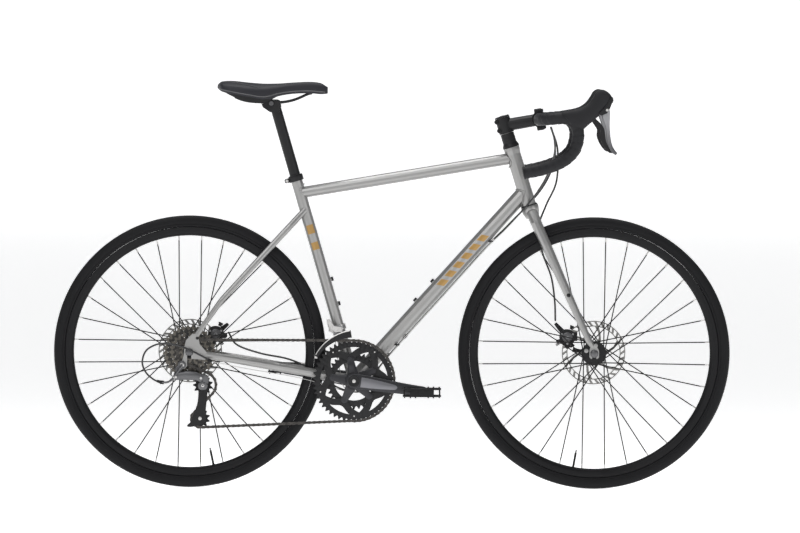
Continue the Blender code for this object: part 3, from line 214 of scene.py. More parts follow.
def bolt(bm, centre, axis, radius, height, socket=0.55, material=0):
    """A round bolt head with a sunk hexagon socket."""
    axis = Vector(axis).normalized()
    u, v = across(axis)
    rings = []
    for r, a in ((radius, 0), (radius, height * 0.75), (radius * 0.88, height)):
        rings.append([centre + axis * a + u * (r * math.cos(2 * math.pi * k / 24))
                      + v * (r * math.sin(2 * math.pi * k / 24)) for k in range(24)])
    for depth in (height, height * 0.3):
        ring = []
        for k in range(24):
            angle = 2 * math.pi * k / 24
            r = radius * socket * math.cos(math.pi / 6) / math.cos(
                (angle % (math.pi / 3)) - math.pi / 6)
            ring.append(centre + axis * depth + u * (r * math.cos(angle))
                        + v * (r * math.sin(angle)))
        rings.append(ring)
    loft(bm, rings, material=material)


def slab(bm, low, high, bevel=0.0, material=0):
    """A box with bevelled edges."""
    made = bmesh.ops.create_cube(bm, size=1.0)
    low, high = Vector(low), Vector(high)
    for vert in made["verts"]:
        vert.co = Vector([(low[i] + high[i]) / 2 + vert.co[i] * (high[i] - low[i])
                          for i in range(3)])
    faces = list(dict.fromkeys(face for vert in made["verts"] for face in vert.link_faces))
    for face in faces:
        face.material_index = material
    if bevel:
        edges = list(dict.fromkeys(edge for face in faces for edge in face.edges))
        bmesh.ops.bevel(bm, geom=edges, offset=bevel, segments=2, profile=0.6,
                        affect="EDGES", clamp_overlap=True)


# Materials


def material(name, color, roughness, metal=0.0, **settings):
    """A Principled material whose colour, roughness and relief vary over the surface.

    grain: size of the noise, in cycles per metre; tone: how far the colour strays; rough_spread:
    how far the roughness strays; bump: height of the relief in metres; stretch: scale of the
    noise along each axis; coat: clear coat weight; wave: not used.
    """
    grain = settings.get("grain", 900)
    tone = settings.get("tone", 0.12)
    spread = settings.get("rough_spread", 0.08)
    bump = settings.get("bump", 0.00003)
    stretch = settings.get("stretch", (1, 1, 1))
    made = bpy.data.materials.new(name)
    made.use_nodes = True
    nodes = made.node_tree.nodes
    links = made.node_tree.links
    shader = nodes["Principled BSDF"]
    shader.inputs["Metallic"].default_value = metal
    shader.inputs["Roughness"].default_value = roughness
    shader.inputs["Coat Weight"].default_value = settings.get("coat", 0.0)
    shader.inputs["Coat Roughness"].default_value = settings.get("coat_rough", 0.2)
    shader.inputs["Specular IOR Level"].default_value = settings.get("specular", 0.5)
    place = nodes.new("ShaderNodeTexCoord")
    scale = nodes.new("ShaderNodeMapping")
    scale.inputs["Scale"].default_value = stretch
    links.new(place.outputs["Object"], scale.inputs["Vector"])
    fine = nodes.new("ShaderNodeTexNoise")
    fine.inputs["Scale"].default_value = grain
    fine.inputs["Detail"].default_value = settings.get("detail", 4.0)
    links.new(scale.outputs["Vector"], fine.inputs["Vector"])
    broad = nodes.new("ShaderNodeTexNoise")
    broad.inputs["Scale"].default_value = settings.get("patches", 14)
    broad.inputs["Detail"].default_value = 5.0
    links.new(scale.outputs["Vector"], broad.inputs["Vector"])
    mix = nodes.new("ShaderNodeMix")
    mix.data_type = "FLOAT"
    mix.inputs[0].default_value = settings.get("patch_share", 0.5)
    links.new(fine.outputs["Fac"], mix.inputs[2])
    links.new(broad.outputs["Fac"], mix.inputs[3])
    ramp = nodes.new("ShaderNodeValToRGB")
    low = [c * (1 - tone) for c in color]
    high = [min(1, c * (1 + tone)) for c in color]
    ramp.color_ramp.elements[0].position = 0.30
    ramp.color_ramp.elements[1].position = 0.70
    ramp.color_ramp.elements[0].color = (*low, 1)
    ramp.color_ramp.elements[1].color = (*high, 1)
    links.new(mix.outputs[0], ramp.inputs["Fac"])
    links.new(ramp.outputs["Color"], shader.inputs["Base Color"])
    rough = nodes.new("ShaderNodeMapRange")
    rough.inputs["From Min"].default_value = 0.3
    rough.inputs["From Max"].default_value = 0.7
    rough.inputs["To Min"].default_value = max(0.02, roughness - spread)
    rough.inputs["To Max"].default_value = min(1, roughness + spread)
    links.new(mix.outputs[0], rough.inputs["Value"])
    links.new(rough.outputs["Result"], shader.inputs["Roughness"])
    relief = nodes.new("ShaderNodeBump")
    relief.inputs["Strength"].default_value = 1.0
    relief.inputs["Distance"].default_value = bump
    links.new(fine.outputs["Fac"], relief.inputs["Height"])
    links.new(relief.outputs["Normal"], shader.inputs["Normal"])
    return made


FRAME_SILVER = material("frame_silver", (0.33, 0.327, 0.322), 0.32, 0.72, grain=5200, tone=0.05,
                        rough_spread=0.05, bump=0.000006, coat=0.25, coat_rough=0.25)
GOLD = material("gold_decal", (0.40, 0.235, 0.07), 0.40, 0.45, grain=4200, tone=0.08,
                bump=0.000004, coat=0.3)
TYRE = material("tyre_rubber", (0.012, 0.012, 0.013), 0.58, specular=0.12, grain=1600, tone=0.25,
                rough_spread=0.10, bump=0.00006, patches=9)
RIM_BLACK = material("rim_black", (0.012, 0.012, 0.013), 0.36, 0.1, specular=0.16, grain=700,
                     tone=0.2, stretch=(1, 8, 1), bump=0.000008)
BLACK_METAL = material("black_anodised", (0.020, 0.020, 0.021), 0.34, 0.2, specular=0.22,
                       grain=2600, tone=0.18, bump=0.000008)
DARK_METAL = material("dark_grey_alloy", (0.13, 0.13, 0.135), 0.36, 0.7, grain=2200, tone=0.12,
                      bump=0.000008)
GREY_METAL = material("grey_alloy", (0.30, 0.30, 0.305), 0.33, 0.8, grain=2600, tone=0.08,
                      bump=0.000006)
INLAY = material("light_grey_inlay", (0.20, 0.20, 0.215), 0.34, 0.6, grain=3000, tone=0.06,
                 bump=0.000005)
STEEL = material("brushed_steel", (0.58, 0.57, 0.56), 0.30, 1.0, grain=900, tone=0.10,
                 stretch=(1, 6, 1), bump=0.000006)
DARK_STEEL = material("oiled_steel", (0.050, 0.047, 0.045), 0.36, 0.8, grain=1500, tone=0.3,
                      patches=60, bump=0.00001)
CHAIN_PLATE = material("chain_plate", (0.075, 0.070, 0.066), 0.36, 0.8, grain=1400, tone=0.25,
                       patches=70, bump=0.00001)
SPOKE = material("spoke_steel", (0.012, 0.012, 0.012), 0.45, 0.1, specular=0.25, grain=900,
                 tone=0.2, bump=0.000004)
PLASTIC = material("black_plastic", (0.014, 0.014, 0.015), 0.45, specular=0.18, grain=2300,
                   tone=0.15, bump=0.00003)
CABLE = material("cable_housing", (0.010, 0.010, 0.011), 0.33, grain=1800, tone=0.15,
                 bump=0.000008, coat=0.3)
RUBBER = material("hood_rubber", (0.020, 0.020, 0.022), 0.60, specular=0.18, grain=2100, tone=0.2,
                  bump=0.00008, detail=2)
TAPE = material("bar_tape", (0.016, 0.016, 0.018), 0.50, specular=0.22, grain=3000, tone=0.22,
                bump=0.00012, detail=2)
LEATHER = material("saddle_cover", (0.026, 0.026, 0.031), 0.50, specular=0.22, grain=1900,
                   tone=0.14, bump=0.00010, detail=3, patches=22)
SEAM = material("saddle_trim", (0.10, 0.10, 0.105), 0.45, grain=2400, tone=0.15, bump=0.00006)


# Wheels


def polar(centre, radius, angle, y=0.0):
    return centre + Vector((radius * math.cos(angle), y, radius * math.sin(angle)))


def tyre(word, centre):
    """A tyre with a smooth crown, shallow slanted grooves and a ribbed sidewall."""
    half, crown = 0.0150, TYRE_RADIUS
    middle = crown - half
    bm = bmesh.new()
    profile = [(0.3128, -0.0100), (0.3140, -0.0128)]
    for k in range(25):
        a = math.radians(-105 + 210 * k / 24)
        profile.append((middle + half * math.cos(a) * 0.9985, half * math.sin(a)))
    profile += [(0.3140, 0.0128), (0.3128, 0.0100)]
    turned(bm, profile, centre, SIDE, 180, closed=True)
    for sign in (-1, 1):
        turned(bm, [(0.3175, sign * 0.0138), (0.3185, sign * 0.0149), (0.3195, sign * 0.0146),
                    (0.3200, sign * 0.0138)], centre, SIDE, 180, closed=True)
    blocks = 120
    for i in range(blocks):
        for sign in (-1, 1):
            corners = []
            for side, turn in ((0.30, 0.0), (0.62, 0.010), (0.62, 0.020), (0.30, 0.010)):
                a = math.asin(side) * sign
                angle = 2 * math.pi * (i + (0.5 if sign > 0 else 0)) / blocks + turn
                corners.append((angle, middle + half * math.cos(a), half * math.sin(a)))
            rings = [[polar(centre, r + lift, angle, y * (1 + lift * 18))
                      for angle, r, y in corners] for lift in (-0.0010, -0.00005)]
            loft(bm, rings, material=1)
    return piece(f"{word}_tyre_body", bm, [TYRE, TREAD], f"{word}_wheel", (f"{word}_tyre",))


TREAD = material("tread_rubber", (0.016, 0.016, 0.017), 0.66, specular=0.12, grain=1500, tone=0.2,
                 bump=0.00008)


def rim(word, centre, flange_right, flange_left, turn):
    """A hollow-looking black rim with its nipples and valve."""
    bm = bmesh.new()
    outer, inner, half = 0.3125, inner_rim(word, centre), 0.0118
    profile = [(outer, -half + 0.0012), (outer - 0.0007, -half), (outer - 0.0125, -half),
               (outer - 0.0150, -half + 0.0006), (inner + 0.0030, -0.0068),
               (inner + 0.0004, -0.0040), (inner, 0.0), (inner + 0.0004, 0.0040),
               (inner + 0.0030, 0.0068), (outer - 0.0150, half - 0.0006),
               (outer - 0.0125, half), (outer - 0.0007, half), (outer, half - 0.0012)]
    turned(bm, profile, centre, SIDE, 160, closed=True)
    for start, end in spoke_lines(centre, flange_right, flange_left, turn):
        along = (end - start).normalized()
        turned(bm, [(0.0, -0.0105), (0.0014, -0.0100), (0.0019, -0.0080), (0.0019, 0.0010),
                    (0.0026, 0.0018), (0.0026, 0.0030)], end, along, 10, material=1)
    angle = math.radians(-100 if word == "front" else -78)
    valve = [(0.0, -0.0430), (0.0016, -0.0425), (0.0016, -0.0360), (0.0028, -0.0355),
             (0.0028, 0.0), (0.0042, 0.0002), (0.0042, 0.0018), (0.0, 0.0018)]
    turned(bm, valve, polar(centre, inner - 0.0005, angle),
           Vector((math.cos(angle), 0, math.sin(angle))), 14, material=2)
    return piece(f"{word}_rim_body", bm, [RIM_BLACK, STEEL, PLASTIC], f"{word}_wheel",
                 (f"{word}_rim",))


def inner_rim(word, centre):
    """The inner radius of a rim, from its CAD node's points."""
    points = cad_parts[f"{word}_rim"].data.vertices
    return min(math.hypot(p.co.x - centre.x, p.co.z - centre.z) for p in points)


def spoke_lines(centre, flange_right, flange_left, turn):
    """(hub end, rim end) of the thirty-two spokes, sixteen a side, over three crossings."""
    lines = []
    sweep = math.radians(67.5)
    inner = inner_rim("front", FRONT_AXLE)
    for flange, offset in ((flange_right, 0.0), (flange_left, math.pi / 16)):
        for i in range(16):
            lean = 1 if i % 2 else -1
            at_hub = turn + offset + 2 * math.pi * i / 16
            at_rim = at_hub + lean * sweep
            start = polar(centre, 0.0262, at_hub, flange + lean * 0.0024)
            end = polar(centre, inner - 0.0005, at_rim, math.copysign(0.0022, flange))
            lines.append((start, end))
    return lines


def hub(word, centre, half_spacing, flange_right, flange_left, barrel, seat, turn):
    """A turned hub shell with drilled flanges, its axle ends and its spokes."""
    bm = bmesh.new()
    thin = 0.0016
    right, left = flange_right, flange_left
    end = half_spacing - 0.0003
    profile = [(0.0, -half_spacing - 0.0048), (0.0040, -half_spacing - 0.0048),
               (0.0049, -half_spacing - 0.0040), (0.0049, -end), (0.0083, -end),
               (0.0083, -end + 0.006), (0.0118, right - thin - 0.0040), (0.0122, right - thin),
               (0.0300, right - thin), (0.0308, right - thin * 0.4), (0.0308, right + thin * 0.4),
               (0.0300, right + thin), (barrel + 0.004, right + thin), (barrel, right + 0.008),
               (barrel, left - 0.008), (barrel + 0.004, left - thin), (0.0278, left - thin),
               (0.0286, left - thin * 0.4), (0.0286, left + thin * 0.4), (0.0278, left + thin),
               (0.0183, left + thin), (0.0183, seat), (0.0083, seat), (0.0083, end),
               (0.0049, end), (0.0049, half_spacing + 0.0040), (0.0040, half_spacing + 0.0048),
               (0.0, half_spacing + 0.0048)]
    turned(bm, profile, centre, SIDE, 56)
    for start, finish in spoke_lines(centre, right, left, turn):
        tube(bm, [start, start.lerp(finish, 0.35), start.lerp(finish, 0.70), finish],
             [0.00150, 0.00140, 0.00140, 0.00150], 8, material=1)
        side = 1 if start.y > (right + left) / 2 + centre.y else -1
        outward = 1 if abs(start.y) > abs(right if side < 0 else left) else -1
        turned(bm, [(0.0, 0.0), (0.0019, 0.0), (0.0019, 0.0007), (0.0010, 0.0014),
                    (0.0, 0.0015)], start, SIDE * (side * outward), 10, material=1)
    return piece(f"{word}_hub_body", bm, [BLACK_METAL, SPOKE], f"{word}_wheel",
                 (f"{word}_hub",))


ROTOR_SLOTS = 30
SLOT_SHARE = 0.56
ROTOR_ROWS = ((0.0655, -0.05), (0.0682, -0.04), (0.0773, 0.05), (0.0800, 0.06))


def rotor(word, centre, y):
    """A stamped brake disc: a vented ring on six slanted arms, bolted to the hub."""
    bm = bmesh.new()
    half = 0.00088
    place = centre + SIDE * y
    step = 2 * math.pi / ROTOR_SLOTS
    edges_of_slot = (0.0, 0.5 - SLOT_SHARE / 2, 0.5 + SLOT_SHARE / 2, 1.0)
    for sign in (-1, 1):
        for i in range(ROTOR_SLOTS):
            grid = []
            for r, lean in ROTOR_ROWS:
                grid.append([bm.verts.new(polar(place, r, step * (i + f) + lean, sign * half))
                             for f in edges_of_slot])
            for j in range(3):
                for k in range(3):
                    if j == 1 and k == 1:
                        continue
                    bm.faces.new((grid[j][k], grid[j][k + 1], grid[j + 1][k + 1],
                                  grid[j + 1][k]))
    bmesh.ops.remove_doubles(bm, verts=bm.verts, dist=1e-5)
    edges = [edge for edge in bm.edges if edge.is_boundary]
    pairs = {}
    for edge in edges:
        key = tuple(sorted((round(v.co.x, 5), round(v.co.z, 5)) for v in edge.verts))
        pairs.setdefault(key, []).append(edge)
    for key, couple in pairs.items():
        if len(couple) != 2:
            continue
        a, b = couple[0].verts
        c = min(couple[1].verts, key=lambda v: abs(v.co.x - a.co.x) + abs(v.co.z - a.co.z))
        d = couple[1].other_vert(c)
        bm.faces.new((a, b, d, c))
    for i in range(6):
        angle = math.pi / 3 * i
        lean = angle + math.radians(24)
        points = []
        for t in (0.0, 0.33, 0.66, 1.0):
            at = angle + (lean - angle) * t ** 1.3
            r = 0.0235 + (0.0670 - 0.0235) * t
            points.append((at, r, 0.0052 - 0.0022 * math.sin(math.pi * t)))
        left = [polar(place, r, at + w / r) for at, r, w in points]
        right = [polar(place, r, at - w / r) for at, r, w in points]
        outline = [(p.x, p.z) for p in left + right[::-1]]
        prism(bm, outline, y - half * 0.95, y + half * 0.95)
        bolt(bm, polar(place, 0.0220, angle, half), SIDE, 0.0034, 0.0016, material=1)
    turned(bm, [(0.0285, -half), (0.0285, half), (0.0190, half), (0.0190, -half)],
           place, SIDE, 48, closed=True)
    return piece(f"{word}_rotor_body", bm, [ROTOR_STEEL, BLACK_METAL], f"{word}_wheel",
                 (f"{word}_rotor",), 30)


ROTOR_STEEL = material("rotor_steel", (0.22, 0.217, 0.21), 0.30, 1.0, grain=1300, tone=0.14,
                       stretch=(1, 4, 1), bump=0.000008)

FRONT_SPOKES = (-0.0300, 0.0270, math.radians(28.1))
REAR_SPOKES = (-0.0230, 0.0330, math.radians(28.1))
for word, centre, spacing, laced, barrel, seat in (
        ("front", FRONT_AXLE, 0.0500, FRONT_SPOKES, 0.0130, 0.0410),
        ("rear", REAR_AXLE, 0.0675, REAR_SPOKES, 0.0170, 0.0530)):
    tyre(word, centre)
    rim(word, centre, *laced)
    rotor_y = middle(f"{word}_rotor").y
    hub(word, centre, spacing, laced[0], laced[1], barrel, rotor_y - 0.0012, laced[2])
    rotor(word, centre, rotor_y)


# Handlebar, tape, hoods and levers

BAR_CLAMP = Vector((0.3683, 0, 0.9270))
BAR_POINTS = ((0.3683, 0.075, 0.9270), (0.3690, 0.130, 0.9270), (0.3785, 0.172, 0.9280),
              (0.4030, 0.197, 0.9300), (0.4290, 0.206, 0.9310), (0.4510, 0.209, 0.9200),
              (0.4615, 0.210, 0.8930), (0.4540, 0.210, 0.8550), (0.4310, 0.210, 0.8290),
              (0.4000, 0.210, 0.8125), (0.3640, 0.210, 0.8015), (0.3270, 0.210, 0.7945))


def evenly(points, spacing):
    """The same path with points at equal distances."""
    points = [Vector(p) for p in points]
    lengths = [0.0]
    for a, b in zip(points, points[1:]):
        lengths.append(lengths[-1] + (b - a).length)
    count = max(2, round(lengths[-1] / spacing))
    out = []
    k = 0
    for i in range(count + 1):
        want = lengths[-1] * i / count
        while k < len(lengths) - 2 and lengths[k + 1] < want:
            k += 1
        share = (want - lengths[k]) / max(1e-9, lengths[k + 1] - lengths[k])
        out.append(points[k].lerp(points[k + 1], share))
    return out


def bar_tape(word, sign):
    """Wound tape: each turn laps the one before, in a slanting step round the bar."""
    path = evenly(rounded([(x, y * sign, z) for x, y, z in BAR_POINTS], 10), 0.0022)
    sides = 40
    pitch = 0.0170
    bm = bmesh.new()
    rings = []
    frames = tube_rings(path, 1.0, sides)
    for i, (point, ring) in enumerate(zip(path, frames)):
        row = []
        for k, p in enumerate(ring):
            out = p - point
            turn = (i * 0.0022 / pitch + sign * k / sides) % 1.0
            step = 0.0012 * (1 - turn) ** 0.7 - (0.0014 if turn < 0.09 else 0.0)
            row.append(point + out * (0.0146 + step))
        rings.append(row)
    nip = (path[-1] - path[-2]).normalized()
    loft(bm, rings)
    turned(bm, [(0.0, -0.004), (0.0150, -0.004), (0.0165, -0.001), (0.0163, 0.0015),
                (0.0120, 0.0034), (0.0, 0.0038)], path[-1], nip, 32, material=1)
    band = path[0] - (path[1] - path[0]).normalized() * 0.004
    turned(bm, [(0.0130, -0.0085), (0.0152, -0.0080), (0.0157, 0.0), (0.0157, 0.0055),
                (0.0145, 0.0060)], band, path[1] - path[0], 32, material=2)
    return piece(f"bar_tape_{word}_wound", bm, [TAPE, PLASTIC, TAPE_END], "steering",
                 (f"bar_tape_{word}",), 60)


TAPE_END = material("finishing_tape", (0.11, 0.11, 0.115), 0.32, grain=1500, tone=0.1,
                    bump=0.00001, coat=0.3)


def handlebar():
    bm = bmesh.new()
    right = [Vector((x, -y, z)) for x, y, z in BAR_POINTS]
    left = [Vector(p) for p in BAR_POINTS]
    start = [Vector((0.3683, y, 0.9270)) for y in (-0.062, -0.046, -0.036, 0.0, 0.036, 0.046,
                                                    0.062)]
    coarse = right[::-1] + start + left
    radii = [0.0118] * len(right) + [0.0125, 0.0148, 0.0158, 0.0158, 0.0158, 0.0148, 0.0125]
    radii += [0.0118] * len(left)
    path = rounded(coarse, 6)
    fine = []
    for i in range(len(path)):
        k = min(i / 6, len(coarse) - 1)
        a = int(k)
        b = min(a + 1, len(coarse) - 1)
        fine.append(radii[a] + (radii[b] - radii[a]) * (k - a))
    tube(bm, path, fine, 32)
    return piece("handlebar_tube", bm, BLACK_METAL, "steering", ("handlebar",), 60)


def hood(word, sign):
    """The rubber hood: a saddle-shaped grip that rises to a rounded nose."""
    y = sign * 0.210
    bm = bmesh.new()
    top = ((0.4210, 0.9470), (0.4380, 0.9500), (0.4570, 0.9535), (0.4730, 0.9590),
           (0.4870, 0.9690), (0.4975, 0.9830), (0.5060, 0.9970), (0.5175, 1.0030),
           (0.5300, 1.0000), (0.5400, 0.9920), (0.5460, 0.9830))
    low = ((0.4440, 0.9130), (0.4580, 0.9030), (0.4725, 0.9030), (0.4860, 0.9140),
           (0.4980, 0.9240), (0.5090, 0.9340), (0.5190, 0.9440), (0.5270, 0.9530),
           (0.5340, 0.9610), (0.5405, 0.9690), (0.5445, 0.9755))
    wide = (0.0165, 0.0180, 0.0192, 0.0196, 0.0192, 0.0186, 0.0180, 0.0172, 0.0160, 0.0130,
            0.0080)
    top = rounded([(x, 0, z) for x, z in top], 4)
    low = rounded([(x, 0, z) for x, z in low], 4)
    widths = rounded([(i, w, 0) for i, w in enumerate(wide)], 4)
    rings = []
    for a, b, w in zip(top, low, widths):
        centre, half = (a + b) / 2, (a - b) / 2
        ring = []
        for k in range(32):
            t = 2 * math.pi * k / 32
            c, s = math.cos(t), math.sin(t)
            square = (abs(c) ** 2.6 + abs(s) ** 2.6) ** (-1 / 2.6)
            ring.append(centre + half * (s * square) + SIDE * (w.y * c * square) + SIDE * y)
        rings.append(ring)
    tip = (top[-1] + low[-1]) / 2 + SIDE * y + Vector((0.0012, 0, 0))
    rings.append([tip.lerp(p, 0.55) + Vector((0.0010, 0, 0)) for p in rings[-1]])
    loft(bm, rings)
    obj = piece(f"hood_{word}_rubber", bm, RUBBER, "steering", (f"hood_{word}",), 60)
    bm = bmesh.new()
    plate_low = [(0.5185, 0.9380), (0.5330, 0.9440), (0.5400, 0.9560), (0.5470, 0.9740),
                 (0.5480, 0.9830), (0.5430, 0.9850), (0.5350, 0.9700), (0.5250, 0.9560),
                 (0.5120, 0.9430)]
    for side in (-1, 1):
        edge = y + side * 0.0122
        prism(bm, plate_low, *sorted((edge, edge + side * 0.0030)), bevel=0.0006)
        bolt(bm, Vector((0.5330, edge + side * 0.0030, 0.9520)), SIDE * side, 0.0034, 0.0012,
             material=1)
    nose = [(0.5380, 0.9880), (0.5460, 0.9840), (0.5490, 0.9770), (0.5470, 0.9700),
            (0.5410, 0.9720)]
    prism(bm, nose, y - 0.0100, y + 0.0100, bevel=0.0010)
    piece(f"hood_{word}_bracket", bm, [BLACK_METAL, STEEL], "steering")
    return obj


def brake_lever(word, sign):
    """A forged blade: broad at its pivot, slim below, with a curled tip."""
    y = sign * 0.210
    bm = bmesh.new()
    front = ((0.5360, 0.9590), (0.5400, 0.9480), (0.5402, 0.9350), (0.5398, 0.9200),
             (0.5400, 0.9050), (0.5412, 0.8900), (0.5432, 0.8760), (0.5470, 0.8620),
             (0.5530, 0.8520), (0.5590, 0.8450))
    rear = ((0.5230, 0.9520), (0.5190, 0.9420), (0.5215, 0.9290), (0.5262, 0.9160),
            (0.5292, 0.9030), (0.5310, 0.8890), (0.5332, 0.8730), (0.5380, 0.8580),
            (0.5450, 0.8470), (0.5545, 0.8395))
    wide = (0.0105, 0.0108, 0.0102, 0.0092, 0.0082, 0.0078, 0.0076, 0.0074, 0.0068, 0.0050)
    front = rounded([(x, 0, z) for x, z in front], 4)
    rear = rounded([(x, 0, z) for x, z in rear], 4)
    widths = rounded([(i, w, 0) for i, w in enumerate(wide)], 4)
    rings = []
    for a, b, w in zip(front, rear, widths):
        centre, half = (a + b) / 2, (a - b) / 2
        ring = []
        for k in range(20):
            t = 2 * math.pi * k / 20
            c, s = math.cos(t), math.sin(t)
            square = (abs(c) ** 3 + abs(s) ** 3) ** (-1 / 3)
            ring.append(centre + half * (s * square) + SIDE * (w.y * c * square * 0.8 + y))
        rings.append(ring)
    loft(bm, rings)
    turned(bm, [(0.0, -0.0118), (0.0042, -0.0118), (0.0046, -0.0108), (0.0046, 0.0108),
                (0.0042, 0.0118), (0.0, 0.0118)], Vector((0.5150, y, 0.9465)), SIDE, 20,
           material=1)
    return piece(f"brake_blade_{word}", bm, [LEVER_METAL, STEEL], f"brake_lever_{word}",
                 (f"brake_lever_{word}",), 50)


def lever_metal():
    """Grey paint that turns darker towards the tip of the lever."""
    made = material("lever_metal", (0.30, 0.30, 0.31), 0.34, 0.7, grain=2600, tone=0.06,
                    bump=0.000005)
    nodes = made.node_tree.nodes
    links = made.node_tree.links
    shader = nodes["Principled BSDF"]
    ramp = shader.inputs["Base Color"].links[0].from_node
    place = nodes.new("ShaderNodeTexCoord")
    split = nodes.new("ShaderNodeSeparateXYZ")
    links.new(place.outputs["Object"], split.inputs["Vector"])
    height = nodes.new("ShaderNodeMapRange")
    height.inputs["From Min"].default_value = 0.850
    height.inputs["From Max"].default_value = 0.925
    height.inputs["To Min"].default_value = 0.22
    height.inputs["To Max"].default_value = 1.0
    links.new(split.outputs["Z"], height.inputs["Value"])
    shade = nodes.new("ShaderNodeMix")
    shade.data_type = "RGBA"
    shade.blend_type = "MIX"
    shade.inputs[6].default_value = (0.05, 0.05, 0.055, 1)
    links.new(height.outputs["Result"], shade.inputs[0])
    links.new(ramp.outputs["Color"], shade.inputs[7])
    links.new(shade.outputs[2], shader.inputs["Base Color"])
    return made


LEVER_METAL = lever_metal()


def shift_paddle(word, sign):
    y = sign * 0.210
    bm = bmesh.new()
    outline = ((0.5050, 0.9300), (0.5180, 0.9180), (0.5262, 0.9050), (0.5285, 0.8900),
               (0.5315, 0.8720), (0.5420, 0.8530), (0.5450, 0.8470), (0.5400, 0.8450),
               (0.5300, 0.8540), (0.5200, 0.8700), (0.5150, 0.8860), (0.5160, 0.9000),
               (0.5090, 0.9120), (0.5010, 0.9250))
    inner = y - sign * 0.0022
    path = [(p.x, p.z) for p in rounded([(x, 0, z) for x, z in outline + outline[:1]], 3)[:-1]]
    prism(bm, path, *sorted((inner - sign * 0.0036, inner)), bevel=0.0008)
    return piece(f"shift_blade_{word}", bm, BLACK_METAL, f"shift_paddle_{word}",
                 (f"shift_paddle_{word}",), 40)


handlebar()
for word, sign in (("right", -1), ("left", 1)):
    bar_tape(word, sign)
    hood(word, sign)
    brake_lever(word, sign)
    shift_paddle(word, sign)


def stem_details():
    """Clamp bolts and the top cap."""
    bm = bmesh.new()
    centre = HEAD_TOP + HEAD_AXIS * 0.058
    reach = (BAR_CLAMP - centre).normalized()
    up = Vector((-reach.z, 0, reach.x))
    for side in (-1, 1):
        for level in (-1, 1):
            bolt(bm, BAR_CLAMP + up * (level * 0.0215) + SIDE * (side * 0.0135)
                 + reach * 0.0080, reach, 0.0040, 0.0045)
            turned(bm, [(0.0, 0.0), (0.0056, 0.0), (0.0060, 0.0015), (0.0060, 0.0170),
                        (0.0050, 0.0185), (0.0, 0.0185)],
                   BAR_CLAMP + up * (level * 0.0215) + SIDE * (side * 0.0135)
                   - reach * 0.0105, reach, 20)
    for level in (-1, 1):
        place = centre + HEAD_AXIS * (level * 0.0115) - reach * 0.0165
        turned(bm, [(0.0, -0.014), (0.0058, -0.014), (0.0062, -0.012), (0.0062, 0.012),
                    (0.0058, 0.014), (0.0, 0.014)], place, SIDE, 20)
        bolt(bm, place - SIDE * 0.0140, -SIDE, 0.0036, 0.0026)
    turned(bm, [(0.0, 0.0200), (0.0188, 0.0203), (0.0188, 0.0225), (0.0160, 0.0245),
                (0.0070, 0.0248), (0.0065, 0.0235), (0.0, 0.0235)], centre, HEAD_AXIS, 40)
    bolt(bm, centre + HEAD_AXIS * 0.0235, HEAD_AXIS, 0.0048, 0.0026, material=1)
    return piece("stem_bolts", bm, [BLACK_METAL, STEEL], "steering")


def headset():
    """Turned spacers with fine seams, over a tapered bearing cover."""
    bm = bmesh.new()
    base = 0.150 + 0.0004
    rows = [(0.0150, base), (0.0208, base), (0.0208, base + 0.0045), (0.0200, base + 0.0065),
            (0.0176, base + 0.0120), (0.0172, base + 0.0125)]
    for seam in (0.0210, 0.0290, 0.0365):
        rows += [(0.0173, base + seam - 0.0010), (0.0168, base + seam - 0.0004),
                 (0.0168, base + seam), (0.0173, base + seam + 0.0004)]
    rows[-1] = (0.0168, base + 0.0368)
    rows.append((0.0150, base + 0.0368))
    turned(bm, rows, HEAD_BOTTOM, HEAD_AXIS, 56, closed=True)
    return piece("headset_rings", bm, BLACK_METAL, "steering", ("headset_spacers",))


stem_details()
headset()


# Drivetrain

OUTER_Y = middle("chainring_outer").y
INNER_Y = middle("chainring_inner").y
COG_Y = middle("guide_pulley").y
GUIDE = middle("guide_pulley")
TENSION = middle("tension_pulley")
OUTER_TEETH, INNER_TEETH, DRIVEN_TEETH, PULLEY_TEETH = 50, 34, 15, 11
COG_TEETH = (11, 12, 13, 15, 17, 20, 24, 28, 32)
SLOPE = math.radians(-8.5)
CRANK_FORWARD = Vector((math.cos(SLOPE), 0, math.sin(SLOPE)))


def pitch_radius(teeth):
    return CHAIN_PITCH / (2 * math.sin(math.pi / teeth))


def gear_outline(teeth, turn=0.0, depth=0.0046, lift=0.0030):
    """(x, z) points round a sprocket: rounded valleys and narrow, flat-topped teeth."""
    r = pitch_radius(teeth)
    outline = []
    for i in range(teeth):
        for part, height in ((0.0, -depth), (0.14, -depth * 0.80), (0.27, -0.0006),
                             (0.40, lift * 0.80), (0.46, lift), (0.54, lift),
                             (0.60, lift * 0.80), (0.73, -0.0006), (0.86, -depth * 0.80)):
            a = turn + 2 * math.pi * (i + part) / teeth
            outline.append((a, r + height))
    return outline


def ring_band(bm, centre, outline, inner, y, half, material=0):
    """A flat band between a toothed outline and an inner radius or radius function."""
    def at(a, r, side):
        return Vector((centre.x + r * math.cos(a), y + side, centre.z + r * math.sin(a)))

    holes = [(a, inner(a) if callable(inner) else inner) for a, _ in outline]
    base = min(r for _, r in outline) - 0.0010
    rows = []
    for loop, side in ((holes, -half), ([(a, base) for a, _ in outline], -half),
                       (outline, -half * 0.45), (outline, half * 0.45),
                       ([(a, base) for a, _ in outline], half), (holes, half)):
        rows.append([at(a, r, side) for a, r in loop])
    loft(bm, rows, closed=True, material=material)


